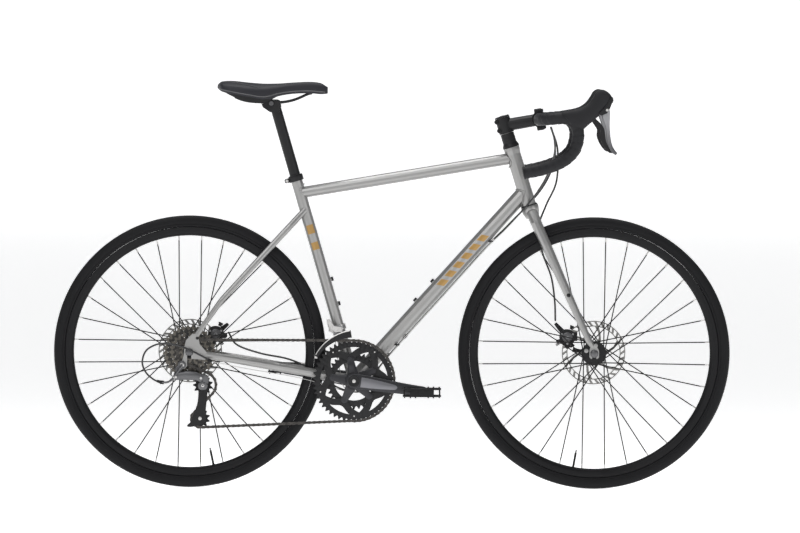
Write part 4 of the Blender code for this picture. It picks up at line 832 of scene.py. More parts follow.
def chainring_outer():
    """The large ring: a toothed rim on a scalloped web with five curved windows."""
    bm = bmesh.new()
    window = math.radians(19)
    ring_band(bm, BB, gear_outline(OUTER_TEETH), rim_edge(window), OUTER_Y, 0.0011)
    for i in range(5):
        angle = SLOPE + 2 * math.pi * (i + 0.5) / 5
        steps = [window * (k / 10 - 1) for k in range(21)]
        inside = [(web_edge(d), d) for d in steps]
        outside = [(0.0842 - 0.0140 * math.cos(math.pi / 2 * d / window) ** 1.4, d)
                   for d in steps]
        outline = [(BB.x + r * math.cos(angle + d), BB.z + r * math.sin(angle + d))
                   for r, d in inside + outside[::-1]]
        strip(bm, outline, len(steps), OUTER_Y, 0.0011)
        place = BB + Vector((math.cos(angle), 0, math.sin(angle))) * 0.0550
        place.y = OUTER_Y - 0.0011
        bolt(bm, place, -SIDE, 0.0052, 0.0016, material=1)
        lean = angle + math.radians(27)
        pin = polar(Vector((BB.x, OUTER_Y, BB.z)), 0.0885, lean, -0.0008)
        turned(bm, [(0.0, 0.0), (0.0018, 0.0), (0.0018, 0.0006), (0.0, 0.0008)], pin, -SIDE,
               12, material=1)
    return piece("chainring_50", bm, [RING_BLACK, STEEL], "crankset", ("chainring_outer",), 30)


def web_edge(d):
    """The inner radius of the large ring's web, at an angle from the nearest spider arm."""
    share = min(1.0, max(0.0, (abs(d) - math.radians(7)) / math.radians(29)))
    return 0.0475 + 0.0325 * share ** 0.8


def rim_edge(window):
    """The rim's inner radius: its own edge over a window, and the web's edge between."""
    def at(a):
        d = (a - SLOPE) % (2 * math.pi / 5) - math.pi / 5
        return 0.0845 if abs(d) < window else web_edge(d)
    return at


def strip(bm, outline, count, y, half, material=0):
    """A flat plate between two rows of points, the second listed backwards."""
    near, far = outline[:count], outline[:count - 1:-1]
    rings = []
    for (ax, az), (bx, bz) in zip(near, far):
        rings.append([Vector((ax, y - half, az)), Vector((ax, y + half, az)),
                      Vector((bx, y + half, bz)), Vector((bx, y - half, bz))])
    loft(bm, rings, material=material)


def chainring_inner():
    bm = bmesh.new()
    ring_band(bm, BB, gear_outline(INNER_TEETH), 0.0495, INNER_Y, 0.0011)
    for i in range(5):
        angle = SLOPE + 2 * math.pi * (i + 0.5) / 5
        outline = []
        for r, a in ((0.0500, -0.13), (0.0465, -0.09), (0.0465, 0.09), (0.0500, 0.13)):
            outline.append((BB.x + r * math.cos(angle + a), BB.z + r * math.sin(angle + a)))
        prism(bm, outline, INNER_Y - 0.0011, INNER_Y + 0.0011)
    return piece("chainring_34", bm, RING_BLACK, "crankset", ("chainring_inner",), 30)


RING_BLACK = material("ring_black", (0.013, 0.013, 0.014), 0.34, 0.3, specular=0.4, grain=1800,
                      tone=0.25, bump=0.000008)


def crank(word, sign, forward):
    """A forged arm: broad round the spindle, waisted, with an inlaid face panel."""
    bm = bmesh.new()
    length = 0.172
    up = Vector((-forward.z, 0, forward.x))
    rows = ((-0.0185, 0.0060, 0.0070), (-0.0160, 0.0080, 0.0125), (-0.0080, 0.0088, 0.0178),
            (0.0040, 0.0090, 0.0190), (0.0180, 0.0086, 0.0190), (0.0400, 0.0076, 0.0180),
            (0.0800, 0.0068, 0.0160), (0.1200, 0.0064, 0.0142), (0.1520, 0.0064, 0.0134),
            (0.1660, 0.0066, 0.0134), (0.1770, 0.0064, 0.0130), (0.1840, 0.0055, 0.0095),
            (0.1866, 0.0040, 0.0050))
    path = rounded([(a, t, h) for a, t, h in rows], 3)
    rings = []
    for row in path:
        a, thick, high = row.x, row.y, row.z
        centre = BB + forward * a + SIDE * (sign * (0.0668 + a * 0.020))
        ring = []
        for k in range(28):
            t = 2 * math.pi * k / 28
            c, s = math.cos(t), math.sin(t)
            square = (abs(c) ** 3.2 + abs(s) ** 3.2) ** (-1 / 3.2)
            ring.append(centre + up * (high * s * square) + SIDE * (thick * c * square))
        rings.append(ring)
    loft(bm, rings)
    face = []
    panel = rounded([(a, 0, h) for a, h in ((0.0180, 0.0125), (0.0400, 0.0118),
                                            (0.0700, 0.0096), (0.0950, 0.0072),
                                            (0.1060, 0.0050), (0.1100, 0.0))], 4)
    for p in panel:
        face.append((p.x, p.z))
    outline = face + [(a, -h) for a, h in face[-2::-1]]
    rings = []
    for lift, inset in ((-0.0010, 1.0), (0.0003, 1.0), (0.0006, 0.94)):
        ring = []
        for a, h in outline:
            thick = 0.0086 - min(1, max(0, (a - 0.018) / 0.062)) * 0.0018
            y = sign * (0.0668 + a * 0.020 + thick + lift)
            ring.append(BB + forward * (0.068 + (a - 0.068) * inset) + up * (h * inset)
                        + SIDE * y)
        rings.append(ring)
    loft(bm, rings, material=1)
    hub_y = sign * (0.0668 + 0.0080)
    turned(bm, [(0.0, 0.0), (0.0152, 0.0), (0.0150, 0.0018), (0.0128, 0.0026),
                (0.0105, 0.0020), (0.0100, 0.0012), (0.0, 0.0012)],
           BB + SIDE * hub_y, SIDE * sign, 40, material=2)
    bolt(bm, BB + SIDE * (hub_y + sign * 0.0010), SIDE * sign, 0.0044, 0.0018, 0.6, material=3)
    end = BB + forward * length
    eye_y = sign * (0.0668 + length * 0.020 + 0.0062)
    turned(bm, [(0.0, 0.0), (0.0088, 0.0), (0.0086, 0.0008), (0.0072, 0.0010), (0.0070, 0.0),
                (0.0, 0.0)], end + SIDE * eye_y, SIDE * sign, 32, material=3)
    if word == "right":
        for i in range(5):
            angle = SLOPE + 2 * math.pi * (i + 0.5) / 5
            out = Vector((math.cos(angle), 0, math.sin(angle)))
            tan = Vector((-out.z, 0, out.x))
            rings = []
            for r, y, thick, wide in ((0.004, -0.0560, 0.0045, 0.0150),
                                      (0.020, -0.0545, 0.0040, 0.0135),
                                      (0.034, -0.0505, 0.0030, 0.0108),
                                      (0.045, -0.0482, 0.0021, 0.0092),
                                      (0.054, -0.0482, 0.0019, 0.0088),
                                      (0.0595, -0.0482, 0.0019, 0.0070),
                                      (0.0620, -0.0482, 0.0015, 0.0030)):
                centre = BB + out * r + SIDE * y
                ring = []
                for k in range(16):
                    t = 2 * math.pi * k / 16
                    c, s = math.cos(t), math.sin(t)
                    square = (abs(c) ** 4 + abs(s) ** 4) ** (-1 / 4)
                    ring.append(centre + tan * (wide * c * square) + SIDE * (thick * s * square))
                rings.append(ring)
            loft(bm, rings)
        turned(bm, [(0.0, -0.0600), (0.0215, -0.0600), (0.0225, -0.0580), (0.0225, -0.0450),
                    (0.0200, -0.0425), (0.0, -0.0425)], BB, SIDE, 40)
    else:
        turned(bm, [(0.0, -0.0560), (0.0120, -0.0560), (0.0120, 0.0600), (0.0, 0.0600)], BB,
               SIDE, 32)
    return piece(f"crank_{word}_arm", bm, [CRANK_METAL, INLAY, BLACK_METAL, STEEL], "crankset",
                 (f"crank_{word}",), 45)


CRANK_METAL = material("crank_dark_alloy", (0.034, 0.034, 0.038), 0.36, 0.5, grain=2400,
                       tone=0.15, bump=0.000008)


def pedal(word, sign, point):
    """A platform pedal: a windowed cage with rows of raised grip pins and reflectorless ends."""
    bm = bmesh.new()
    outline = [(-0.5, 1), (0.5, 1), (0.86, 0.82), (1, 0.42), (1, -0.42), (0.86, -0.82),
               (0.5, -1), (-0.5, -1), (-0.86, -0.82), (-1, -0.42), (-1, 0.42), (-0.86, 0.82)]

    def place(x, v, z):
        return point + Vector((x * 0.0480, v * 0.0400, z))

    for z in (-1, 1):
        level = z * 0.0088
        ring_out = [place(x, v, 0) for x, v in outline]
        rings = []
        for dz, grow in ((-0.0022, 0.97), (-0.0012, 1.0), (0.0012, 1.0), (0.0022, 0.97)):
            rings.append([point + (p - point) * grow + UP * (level + dz) for p in ring_out])
        for dz, grow in ((0.0022, 0.84), (-0.0022, 0.84)):
            rings.append([point + (p - point) * grow + UP * (level + dz) for p in ring_out])
        loft(bm, rings, closed=True)
    for x in (-0.92, -0.33, 0.33, 0.92):
        half = 0.0020 if abs(x) > 0.5 else 0.0025
        wide = 0.0230 if abs(x) > 0.5 else 0.0350
        slab(bm, place(x, 0, 0) + Vector((-half, -wide, -0.0112)),
             place(x, 0, 0) + Vector((half, wide, 0.0078)), 0.0008)
    for v in (-0.93, 0.93):
        slab(bm, place(0, v, 0) + Vector((-0.0300, -0.0022, -0.0102)),
             place(0, v, 0) + Vector((0.0300, 0.0022, 0.0072)), 0.0008)
    for z in (-1, 1):
        for x in (-0.90, -0.60, -0.33, 0.33, 0.60, 0.90):
            for v in (-0.88, 0.88) if abs(x) < 0.8 else (-0.42, 0.42):
                turned(bm, [(0.0, 0.0), (0.0020, 0.0), (0.0016, 0.0024), (0.0, 0.0027)],
                       place(x, v, z * 0.0112), UP * z, 10)
        for x in (-0.33, 0.33):
            for v in (-0.5, 0.0, 0.5):
                turned(bm, [(0.0, 0.0), (0.0017, 0.0), (0.0014, 0.0010), (0.0, 0.0012)],
                       place(x, v, z * 0.0112), UP * z, 10)
    inner = -sign
    turned(bm, [(0.0, -0.0400), (0.0080, -0.0400), (0.0098, -0.0380), (0.0098, -0.0100),
                (0.0075, -0.0060), (0.0075, 0.0100), (0.0098, 0.0150), (0.0098, 0.0380),
                (0.0080, 0.0400), (0.0, 0.0400)], point, SIDE * inner, 28)
    turned(bm, [(0.0, 0.0380), (0.0062, 0.0380), (0.0062, 0.0430), (0.0085, 0.0435),
                (0.0085, 0.0480), (0.0062, 0.0485), (0.0062, 0.0520), (0.0, 0.0520)], point,
           SIDE * inner, 24, material=1)
    return piece(f"pedal_{word}_platform", bm, [PLASTIC, STEEL], f"pedal_{word}",
                 (f"pedal_{word}",), 35)


def cassette():
    """Nine separate toothed cogs, each thinner than its gap, on a lock-ringed carrier."""
    bm = bmesh.new()
    low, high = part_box("cassette")
    pitch = (high[1] - low[1] - 0.0018) / (len(COG_TEETH) - 1)
    for i, teeth in enumerate(COG_TEETH):
        y = low[1] + 0.0009 + pitch * i
        turn = 2 * math.pi / 90 * i
        outline = gear_outline(teeth, turn, depth=0.0034, lift=0.0026)
        r = pitch_radius(teeth)
        ring_band(bm, REAR_AXLE, outline, max(0.0165, r - 0.0105 if teeth > 17 else 0.0165), y,
                  0.0009, material=i % 2)
        if teeth > 17:
            arms = 7 if teeth > 24 else 6
            for k in range(arms):
                a = 2 * math.pi * (k + 0.3 * i) / arms
                lean = a + 0.34
                inner_r = 0.0180
                points = []
                for at, rad, w in ((a, inner_r, 0.0036), (a + 0.17, (inner_r + r) / 2, 0.0024),
                                   (lean, r - 0.0090, 0.0034)):
                    points.append((at, rad, w))
                left = [polar(REAR_AXLE, rad, at + w / rad) for at, rad, w in points]
                right = [polar(REAR_AXLE, rad, at - w / rad) for at, rad, w in points]
                prism(bm, [(p.x, p.z) for p in left + right[::-1]], y - 0.0008, y + 0.0008,
                      material=i % 2)
    turned(bm, [(0.0130, low[1] - 0.0008), (0.0165, low[1] - 0.0004), (0.0180, low[1] + 0.001),
                (0.0180, high[1]), (0.0130, high[1])],
           Vector((REAR_AXLE.x, 0, REAR_AXLE.z)), SIDE, 48, closed=True, material=2)
    return piece("cassette_cogs", bm, [COG_BRIGHT, COG_DARK, BLACK_METAL], "cassette",
                 ("cassette",), 30)


COG_BRIGHT = material("cog_steel", (0.125, 0.115, 0.10), 0.32, 0.9, grain=1500, tone=0.3,
                      patches=40, bump=0.00001)
COG_DARK = material("cog_dark", (0.045, 0.043, 0.041), 0.36, 0.8, grain=1500, tone=0.35,
                    patches=45, bump=0.00001)


def round_arc(centre, radius, start, end, count):
    angles = [math.radians(start + (end - start) * i / (count - 1)) for i in range(count)]
    return [centre + Vector((math.cos(a), 0, math.sin(a))) * radius for a in angles]


def chain_path():
    ring = Vector((BB.x, OUTER_Y, BB.z))
    cog = Vector((REAR_AXLE.x, COG_Y, REAR_AXLE.z))
    big, small = pitch_radius(OUTER_TEETH), pitch_radius(DRIVEN_TEETH)
    path = round_arc(ring, big, -96, 90, 60)
    path.append(ring + Vector((-0.040, 0, big)))
    path.append(cog + Vector((0.045, 0, small)))
    path += round_arc(cog, small, 90, 250, 20)
    path += round_arc(GUIDE, pitch_radius(PULLEY_TEETH) + 0.0102, 62, -32, 12)
    path += round_arc(TENSION, pitch_radius(PULLEY_TEETH), 158, 276, 16)
    path.append(path[0])
    return path


def chain():
    """Every link of the chain: waisted plates in pairs, with pins and rollers."""
    path = chain_path()
    total = sum((b - a).length for a, b in zip(path, path[1:]))
    links = 2 * round(total / CHAIN_PITCH / 2)
    points = evenly(path, total / links)[:links]
    bm = bmesh.new()
    for i, a in enumerate(points):
        b = points[(i + 1) % links]
        along = (b - a).normalized()
        side = (SIDE - along * SIDE.dot(along)).normalized()
        up = along.cross(side)
        length = (b - a).length
        wide = i % 2 == 0
        for sign in (-1, 1):
            inner = 0.0022 if wide else 0.0014
            outer = inner + 0.0007
            outline = []
            for k in range(9):
                t = math.pi / 2 + math.pi * k / 8
                outline.append((0.0037 * math.cos(t), 0.0038 * math.sin(t)))
            outline.append((length / 2, -0.0029))
            for k in range(9):
                t = -math.pi / 2 + math.pi * k / 8
                outline.append((length + 0.0037 * math.cos(t), 0.0038 * math.sin(t)))
            outline.append((length / 2, 0.0029))
            rings = [[a + along * x + up * z + side * (sign * y) for x, z in outline]
                     for y in (inner, outer)]
            loft(bm, rings, material=0 if wide else 1)
        turned(bm, [(0.0, -0.0033), (0.0016, -0.0033), (0.0018, -0.0029), (0.0018, 0.0029),
                    (0.0016, 0.0033), (0.0, 0.0033)], a, side, 10, material=2)
        turned(bm, [(0.0036, -0.0013), (0.0036, 0.0013)], a, side, 12, material=1)
    return piece("chain_links", bm, [CHAIN_PLATE, DARK_STEEL, DARK_STEEL], "frame", ("chain",), 35)


chainring_outer()
chainring_inner()
crank("right", -1, CRANK_FORWARD)
crank("left", 1, -CRANK_FORWARD)
pedal("right", -1, Vector((PEDAL_RIGHT.x, -0.128, PEDAL_RIGHT.z)))
pedal("left", 1, Vector((PEDAL_LEFT.x, 0.128, PEDAL_LEFT.z)))
cassette()
chain()


# Saddle, seatpost and collar

SADDLE_ROWS = ((-0.4370, 0.0300, 0.9990, 1.0130), (-0.4270, 0.0600, 0.9930, 1.0190),
               (-0.3980, 0.0720, 0.9850, 1.0200), (-0.3620, 0.0700, 0.9780, 1.0170),
               (-0.3230, 0.0540, 0.9720, 1.0145), (-0.2850, 0.0350, 0.9830, 1.0150),
               (-0.2500, 0.0250, 0.9885, 1.0175), (-0.2100, 0.0215, 0.9900, 1.0190),
               (-0.1830, 0.0190, 0.9880, 1.0160), (-0.1680, 0.0110, 0.9885, 1.0080))


def saddle_sections(steps=6):
    """(x, half width, low, high) along the saddle, rounded between the measured rows."""
    rows = [Vector((x, half, 0)) for x, half, _, _ in SADDLE_ROWS]
    heights = [Vector((low, high, 0)) for _, _, low, high in SADDLE_ROWS]
    return [(a.x, a.y, b.x, b.y) for a, b in zip(rounded(rows, steps), rounded(heights, steps))]


def saddle():
    """A padded cover over a shell: a crowned top with a shallow channel and wrapped edges."""
    sections = saddle_sections()
    first, last = sections[0], sections[-1]
    sections = [(first[0] - 0.0030, first[1] * 0.55, first[2] + 0.003, first[3] - 0.004),
                *sections,
                (last[0] + 0.0045, last[1] * 0.55, last[2] + 0.001, last[3] - 0.0025)]
    bm = bmesh.new()
    rings = []
    for x, half, low, high in sections:
        height = high - low
        share = (x + 0.44) / 0.28
        channel = 0.0030 * math.exp(-((share - 0.52) / 0.30) ** 4)
        ring = []
        for k in range(33):
            u = -1 + 2 * k / 32
            crown = (1 - abs(u) ** 2.6) ** 0.55 if abs(u) < 1 else 0.0
            z = low + height * (0.34 + 0.66 * crown) - channel * math.exp(-(u / 0.22) ** 2)
            ring.append(Vector((x, half * u, z)))
        for u, v in ((0.99, 0.16), (0.95, 0.0), (0.80, -0.02), (0.5, 0.02), (0.0, 0.06),
                     (-0.5, 0.02), (-0.80, -0.02), (-0.95, 0.0), (-0.99, 0.16)):
            ring.append(Vector((x, half * u, low + height * v)))
        rings.append(ring)
    loft(bm, rings)
    obj = piece("saddle_cover", bm, LEATHER, "seatpost", ("saddle",), 65)
    return obj


def saddle_trim():
    """The moulded edge band, the stitched seams of the rear panel and the under shell."""
    bm = bmesh.new()
    sections = saddle_sections()
    for sign in (-1, 1):
        edge = [Vector((x, sign * half * 0.985, low + (high - low) * 0.20))
                for x, half, low, high in sections]
        tube(bm, edge[1:-1], 0.0014, 8)
        panel = []
        for x, half, low, high in sections:
            if x > -0.330:
                break
            u = 0.52 + 0.30 * min(1, (x + 0.437) / 0.10)
            crown = (1 - u ** 2.6) ** 0.55
            panel.append(Vector((x, sign * half * u,
                                 low + (high - low) * (0.34 + 0.66 * crown) + 0.0002)))
        tube(bm, panel[1:], 0.0008, 6)
        for k in range(1, len(panel) - 1):
            a, b = panel[k], panel[k + 1]
            for t in (0.0, 0.33, 0.66):
                at = a.lerp(b, t) + Vector((0, sign * 0.0024, -0.0006))
                tube(bm, [at, at + (b - a).normalized() * 0.0022], 0.00045, 6, material=1)
        skirt = [row for row in sections if -0.420 < row[0] < -0.290]
        rings = []
        for i, (x, half, low, high) in enumerate(skirt):
            drop = 0.0095 * math.sin(math.pi * (i + 0.3) / (len(skirt) - 0.4))
            rings.append([Vector((x, sign * half * wide, z)) for wide, z in (
                (0.93, low + 0.004), (0.97, low + 0.004), (0.93, low - drop),
                (0.89, low - drop))])
        loft(bm, rings, material=2)
    piece("saddle_edge_trim", bm, [SEAM, STITCH, PLASTIC], "seatpost", degrees=60)


STITCH = material("grey_thread", (0.07, 0.07, 0.075), 0.7, grain=5000, tone=0.2, bump=0.00004)


def rails():
    bm = bmesh.new()
    half = ((-0.3960, 0.0340, 0.9800), (-0.3800, 0.0310, 0.9735), (-0.3600, 0.0260, 0.9690),
            (-0.3350, 0.0220, 0.9672), (-0.3050, 0.0220, 0.9672), (-0.2750, 0.0220, 0.9672),
            (-0.2450, 0.0190, 0.9740), (-0.2150, 0.0110, 0.9870), (-0.2060, 0.0040, 0.9895))
    points = [(x, -y, z) for x, y, z in half] + [(x, y, z) for x, y, z in half[::-1]]
    tube(bm, rounded(points, 5), 0.0035, 16)
    piece("saddle_rail_tubes", bm, BLACK_METAL, "seatpost", ("saddle_rails",), 60)
    bm = bmesh.new()
    for sign in (-1, 1):
        y = sign * 0.0220
        outline = [(-0.3260, 0.9600), (-0.3240, 0.9718), (-0.3180, 0.9738), (-0.2900, 0.9738),
                   (-0.2840, 0.9718), (-0.2820, 0.9600), (-0.2870, 0.9555),
                   (-0.3210, 0.9555)]
        prism(bm, outline, y - 0.0060, y + 0.0060, bevel=0.0012)
        bolt(bm, Vector((-0.3050, y + sign * 0.0060, 0.9640)), SIDE * sign, 0.0058, 0.0040,
             material=1)
    prism(bm, [(-0.3180, 0.9500), (-0.3180, 0.9630), (-0.2920, 0.9630), (-0.2920, 0.9500)],
          -0.0165, 0.0165, bevel=0.0010)
    piece("saddle_clamp_yokes", bm, [BLACK_METAL, DARK_METAL], "seatpost")


def collar():
    """A black split collar with its slot and cross bolt."""
    bm = bmesh.new()
    base = SEAT_TUBE_TOP - SEAT_AXIS * 0.012
    turned(bm, [(0.0147, 0.0), (0.0180, 0.0), (0.0186, 0.0010), (0.0186, 0.0120),
                (0.0178, 0.0155), (0.0158, 0.0160), (0.0147, 0.0155)], base, SEAT_AXIS, 48,
           closed=True)
    back = Vector((-SEAT_AXIS.z, 0, SEAT_AXIS.x))
    for sign in (-1, 1):
        corners = [base + back * a + SEAT_AXIS * b
                   for a, b in ((0.0160, 0.0015), (0.0270, 0.0020), (0.0295, 0.0045),
                                (0.0295, 0.0100), (0.0270, 0.0125), (0.0160, 0.0130))]
        prism(bm, [(p.x, p.z) for p in corners], *sorted((sign * 0.0008, sign * 0.0072)),
              bevel=0.0008)
    bolt(bm, base + back * 0.0235 + SEAT_AXIS * 0.0070 - SIDE * 0.0072, -SIDE, 0.0040, 0.0030,
         material=1)
    piece("seat_collar_ring", bm, [BLACK_METAL, STEEL], "frame", ("seat_collar",))


saddle()
saddle_trim()
rails()
collar()


# Frame details, brakes, derailleurs and cables

DOWN_START = Vector((0.3318, 0, 0.7458))
DOWN_ALONG = (BB - DOWN_START).normalized()
DOWN_UP = Vector((-0.7448, 0, 0.6673))
DOWN_UP = (DOWN_UP - DOWN_ALONG * DOWN_UP.dot(DOWN_ALONG)).normalized()
SEAT_FRONT = Vector((SEAT_AXIS.z, 0, -SEAT_AXIS.x))


def weld(bm, centre, axis, other, radius, other_radius, material=0):
    """A rippled fillet where a tube of other_radius meets a tube of radius."""
    axis, other = axis.normalized(), other.normalized()
    side = axis.cross(other).normalized()
    across_other = other.cross(side).normalized()
    count = 96
    rings = []
    for k in range(count):
        t = 2 * math.pi * k / count
        lateral = other_radius * math.cos(t)
        ahead = other_radius * math.sin(t)
        flat = side * lateral + across_other * ahead
        off = flat - axis * flat.dot(axis)
        reach = math.sqrt(max(0.0, radius ** 2 - min(radius, off.dot(side)) ** 2))
        root = axis.cross(side).normalized()
        if root.dot(other) < 0:
            root = -root
        need = (reach - flat.dot(root)) / max(0.15, other.dot(root))
        point = centre + flat + other * need
        bead = 0.0021 + 0.00035 * math.sin(t * 30)
        out = (flat.normalized() + root * 0.2).normalized()
        ring = [point + out * (bead * math.cos(a)) + other * (bead * math.sin(a))
                for a in [2 * math.pi * j / 8 for j in range(8)]]
        rings.append(ring)
    loft(bm, rings, closed=True, material=material)


def welds():
    bm = bmesh.new()
    head_mid = HEAD_TOP - HEAD_AXIS * 0.034
    seat_mid = SEAT_TUBE_TOP - SEAT_AXIS * 0.036
    along = (head_mid - seat_mid).normalized()
    weld(bm, head_mid, HEAD_AXIS, -along, 0.0190, 0.0143)
    weld(bm, seat_mid, SEAT_AXIS, along, 0.0145, 0.0143)
    weld(bm, HEAD_BOTTOM + HEAD_AXIS * 0.035, HEAD_AXIS, DOWN_ALONG, 0.0190, 0.0190)
    piece("frame_weld_beads", bm, FRAME_SILVER, "frame", degrees=60)


def bottle_bolts():
    """Pairs of bottle bolts on their raised bosses, and the cable guides."""
    bm = bmesh.new()
    for base, along, out, radius, places in (
            (DOWN_START, DOWN_ALONG, DOWN_UP, 0.0189, (0.322, 0.386)),
            (DOWN_START, DOWN_ALONG, -DOWN_UP, 0.0189, (0.471, 0.535)),
            (BB, SEAT_AXIS, SEAT_FRONT, 0.0142, (0.196, 0.260))):
        for place in places:
            spot = base + along * place + out * radius
            turned(bm, [(0.0, -0.001), (0.0062, -0.001), (0.0058, 0.0012), (0.0, 0.0014)], spot,
                   out, 24, material=1)
            bolt(bm, spot + out * 0.0012, out, 0.0056, 0.0052, 0.58)
    for distance in (0.150, 0.500):
        spot = DOWN_START + DOWN_ALONG * distance - DOWN_UP * 0.0205
        slab(bm, spot + Vector((-0.0060, -0.0125, -0.0020)),
             spot + Vector((0.0060, 0.0165, 0.0020)), 0.0010)
    return piece("bottle_bolts_and_guides", bm, [BLACK_METAL, FRAME_SILVER], "frame")


def decals():
    """Plain gold bands on the seat tube and slanted gold bars on the down tube, no letters."""
    bm = bmesh.new()

    def patch(base, along, facing, radius, start, end, low, high, slant):
        side = along.cross(facing).normalized()
        rows = []
        for i in range(13):
            turn = math.radians(low + (high - low) * i / 12)
            normal = facing * math.cos(turn) + side * math.sin(turn)
            row = []
            for at in (start, end):
                row.append(bm.verts.new(base + along * (at + slant * (i / 12 - 0.5))
                                        + normal * radius))
            rows.append(row)
        for a, b in zip(rows, rows[1:]):
            bm.faces.new((a[0], a[1], b[1], b[0]))

    right = -SIDE
    for start, end in ((0.1260, 0.1490), (0.1710, 0.1905)):
        for width in (-1, 1):
            patch(SEAT_TUBE_TOP, -SEAT_AXIS, right * width, 0.01445, start, end, -38, 38, 0.0)
    for k in range(6):
        start = 0.148 + k * 0.0300
        for width in (-1, 1):
            patch(DOWN_START, DOWN_ALONG, right * width, 0.01915, start, start + 0.0190, -26, 26,
                  0.0100 * width)
    piece("gold_bars", bm, GOLD, "frame", degrees=60)


def fork_details():
    """The crown race ring, blade bosses, eyelets and the dropout faces with axle nuts."""
    bm = bmesh.new()
    turned(bm, [(0.0150, -0.0330), (0.0178, -0.0300), (0.0205, -0.0220), (0.0222, -0.0120),
                (0.0222, -0.0060), (0.0214, -0.0034), (0.0150, -0.0034)], HEAD_BOTTOM,
           HEAD_AXIS, 48, closed=True)
    turned(bm, [(0.0150, -0.0030), (0.0212, -0.0026), (0.0212, 0.0), (0.0200, 0.0010),
                (0.0150, 0.0010)], HEAD_BOTTOM - HEAD_AXIS * 0.0010, HEAD_AXIS, 48, closed=True,
           material=1)
    for sign in (-1, 1):
        out = SIDE * sign
        spot = Vector((0.4420, sign * 0.0565, 0.4870))
        bolt(bm, spot, out, 0.0050, 0.0030, material=1)
        for x, z in ((0.4870, 0.3480), (0.5105, 0.3610)):
            turned(bm, [(0.0, -0.0036), (0.0052, -0.0036), (0.0052, 0.0020), (0.0026, 0.0024),
                        (0.0026, 0.0010), (0.0, 0.0010)],
                   Vector((x, sign * 0.0560, z)), out, 20, material=0)
    y = -0.0560
    turned(bm, [(0.0, 0.0), (0.0098, 0.0), (0.0102, 0.0010), (0.0100, 0.0050),
                (0.0078, 0.0078), (0.0040, 0.0088), (0.0, 0.0088)],
           Vector((FRONT_AXLE.x, y - 0.0006, FRONT_AXLE.z)), -SIDE, 36, material=2)
    piece("fork_fittings", bm, [FRAME_SILVER, BLACK_METAL, DARK_METAL], "steering")
    bm = bmesh.new()
    turned(bm, [(0.0, 0.0), (0.0098, 0.0), (0.0102, 0.0010), (0.0100, 0.0050),
                (0.0078, 0.0078), (0.0040, 0.0088), (0.0, 0.0088)],
           Vector((REAR_AXLE.x, -0.0746, REAR_AXLE.z)), -SIDE, 36)
    for x, z in ((-0.5115, 0.3860), (-0.4870, 0.3760)):
        turned(bm, [(0.0, 0.0), (0.0040, 0.0), (0.0036, 0.0012), (0.0, 0.0012)],
               Vector((x, -0.0741, z)), -SIDE, 18, material=1)
    piece("rear_axle_fittings", bm, [DARK_METAL, BLACK_METAL], "frame")


def qr_lever(word, centre, body):
    """The curved clamp lever with its domed cap."""
    bm = bmesh.new()
    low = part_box(f"{word}_qr_lever")[0]
    base = Vector((centre.x, low[1], centre.z))
    turned(bm, [(0.0, 0.0), (0.0098, 0.0), (0.0100, 0.0020), (0.0092, 0.0055),
                (0.0060, 0.0078), (0.0, 0.0080)], base, SIDE, 32)
    points = [(0.004, 0.0050, 0.0), (-0.012, 0.0068, 0.001), (-0.030, 0.0062, 0.003),
              (-0.044, 0.0042, 0.005), (-0.052, 0.0030, 0.0065)]
    path = rounded([(centre.x + x, low[1] + dy, centre.z + z) for x, dy, z in points], 6)
    widths = []
    for i in range(len(path)):
        widths.append(0.0052 + 0.0012 * math.cos(2 * math.pi * i / (len(path) - 1)))
    loft(bm, tube_rings(path, widths, 16, 0.45, UP))
    piece(f"{word}_clamp_lever", bm, BLACK_METAL, body, (f"{word}_qr_lever",))


def caliper(word, body, toward):
    """A cable disc caliper with a round grey adjuster, ribs, bolts and its housing horn."""
    rotor_y = middle(f"{word}_rotor").y
    centre = (Vector((0.4410, 0, 0.3790)) if word == "front" else Vector((-0.4430, 0, 0.3830)))
    bm = bmesh.new()
    outline = []
    for k in range(40):
        a = 2 * math.pi * k / 40
        r = 0.0198 + 0.0014 * math.cos(3 * a)
        outline.append((centre.x + r * math.cos(a), centre.z + r * math.sin(a)))
    prism(bm, outline, rotor_y - 0.0092, rotor_y - 0.0026, bevel=0.0016)
    prism(bm, outline, rotor_y + 0.0026, rotor_y + 0.0170, bevel=0.0016)
    spot = Vector((centre.x, rotor_y - 0.0092, centre.z))
    turned(bm, [(0.0, 0.0), (0.0128, 0.0), (0.0125, 0.0016), (0.0105, 0.0024), (0.0100, 0.0014),
                (0.0062, 0.0014), (0.0058, 0.0030), (0.0, 0.0030)], spot, -SIDE, 36, material=1)
    bolt(bm, spot - SIDE * 0.0014, -SIDE, 0.0040, 0.0030, material=2)
    for k in range(3):
        a = math.radians(30 + 120 * k)
        bolt(bm, spot + Vector((math.cos(a), 0, math.sin(a))) * 0.0160, -SIDE, 0.0026, 0.0014,
             material=2)
    for dx, dz in ((-toward[0] * 0.014, -toward[1] * 0.022), (toward[0] * 0.022, -0.004)):
        spot = Vector((centre.x + dx, rotor_y + 0.0040, centre.z + dz))
        turned(bm, [(0.0, -0.0060), (0.0068, -0.0060), (0.0072, -0.0045), (0.0072, 0.0070),
                    (0.0, 0.0075)], spot, SIDE, 24)
    for a, reach in ((65, 0.030), (205, 0.028), (300, 0.026)):
        out = Vector((math.cos(math.radians(a)), 0, math.sin(math.radians(a))))
        knob = Vector((centre.x, rotor_y + 0.0060, centre.z)) + out * (reach - 0.008)
        turned(bm, [(0.0, 0.0), (0.0046, 0.0), (0.0046, 0.0050), (0.0062, 0.0056),
                    (0.0062, 0.0096), (0.0, 0.0100)], knob, out, 20)
    piece(f"{word}_caliper_details", bm, [BLACK_METAL, DARK_METAL, GREY_METAL], body)


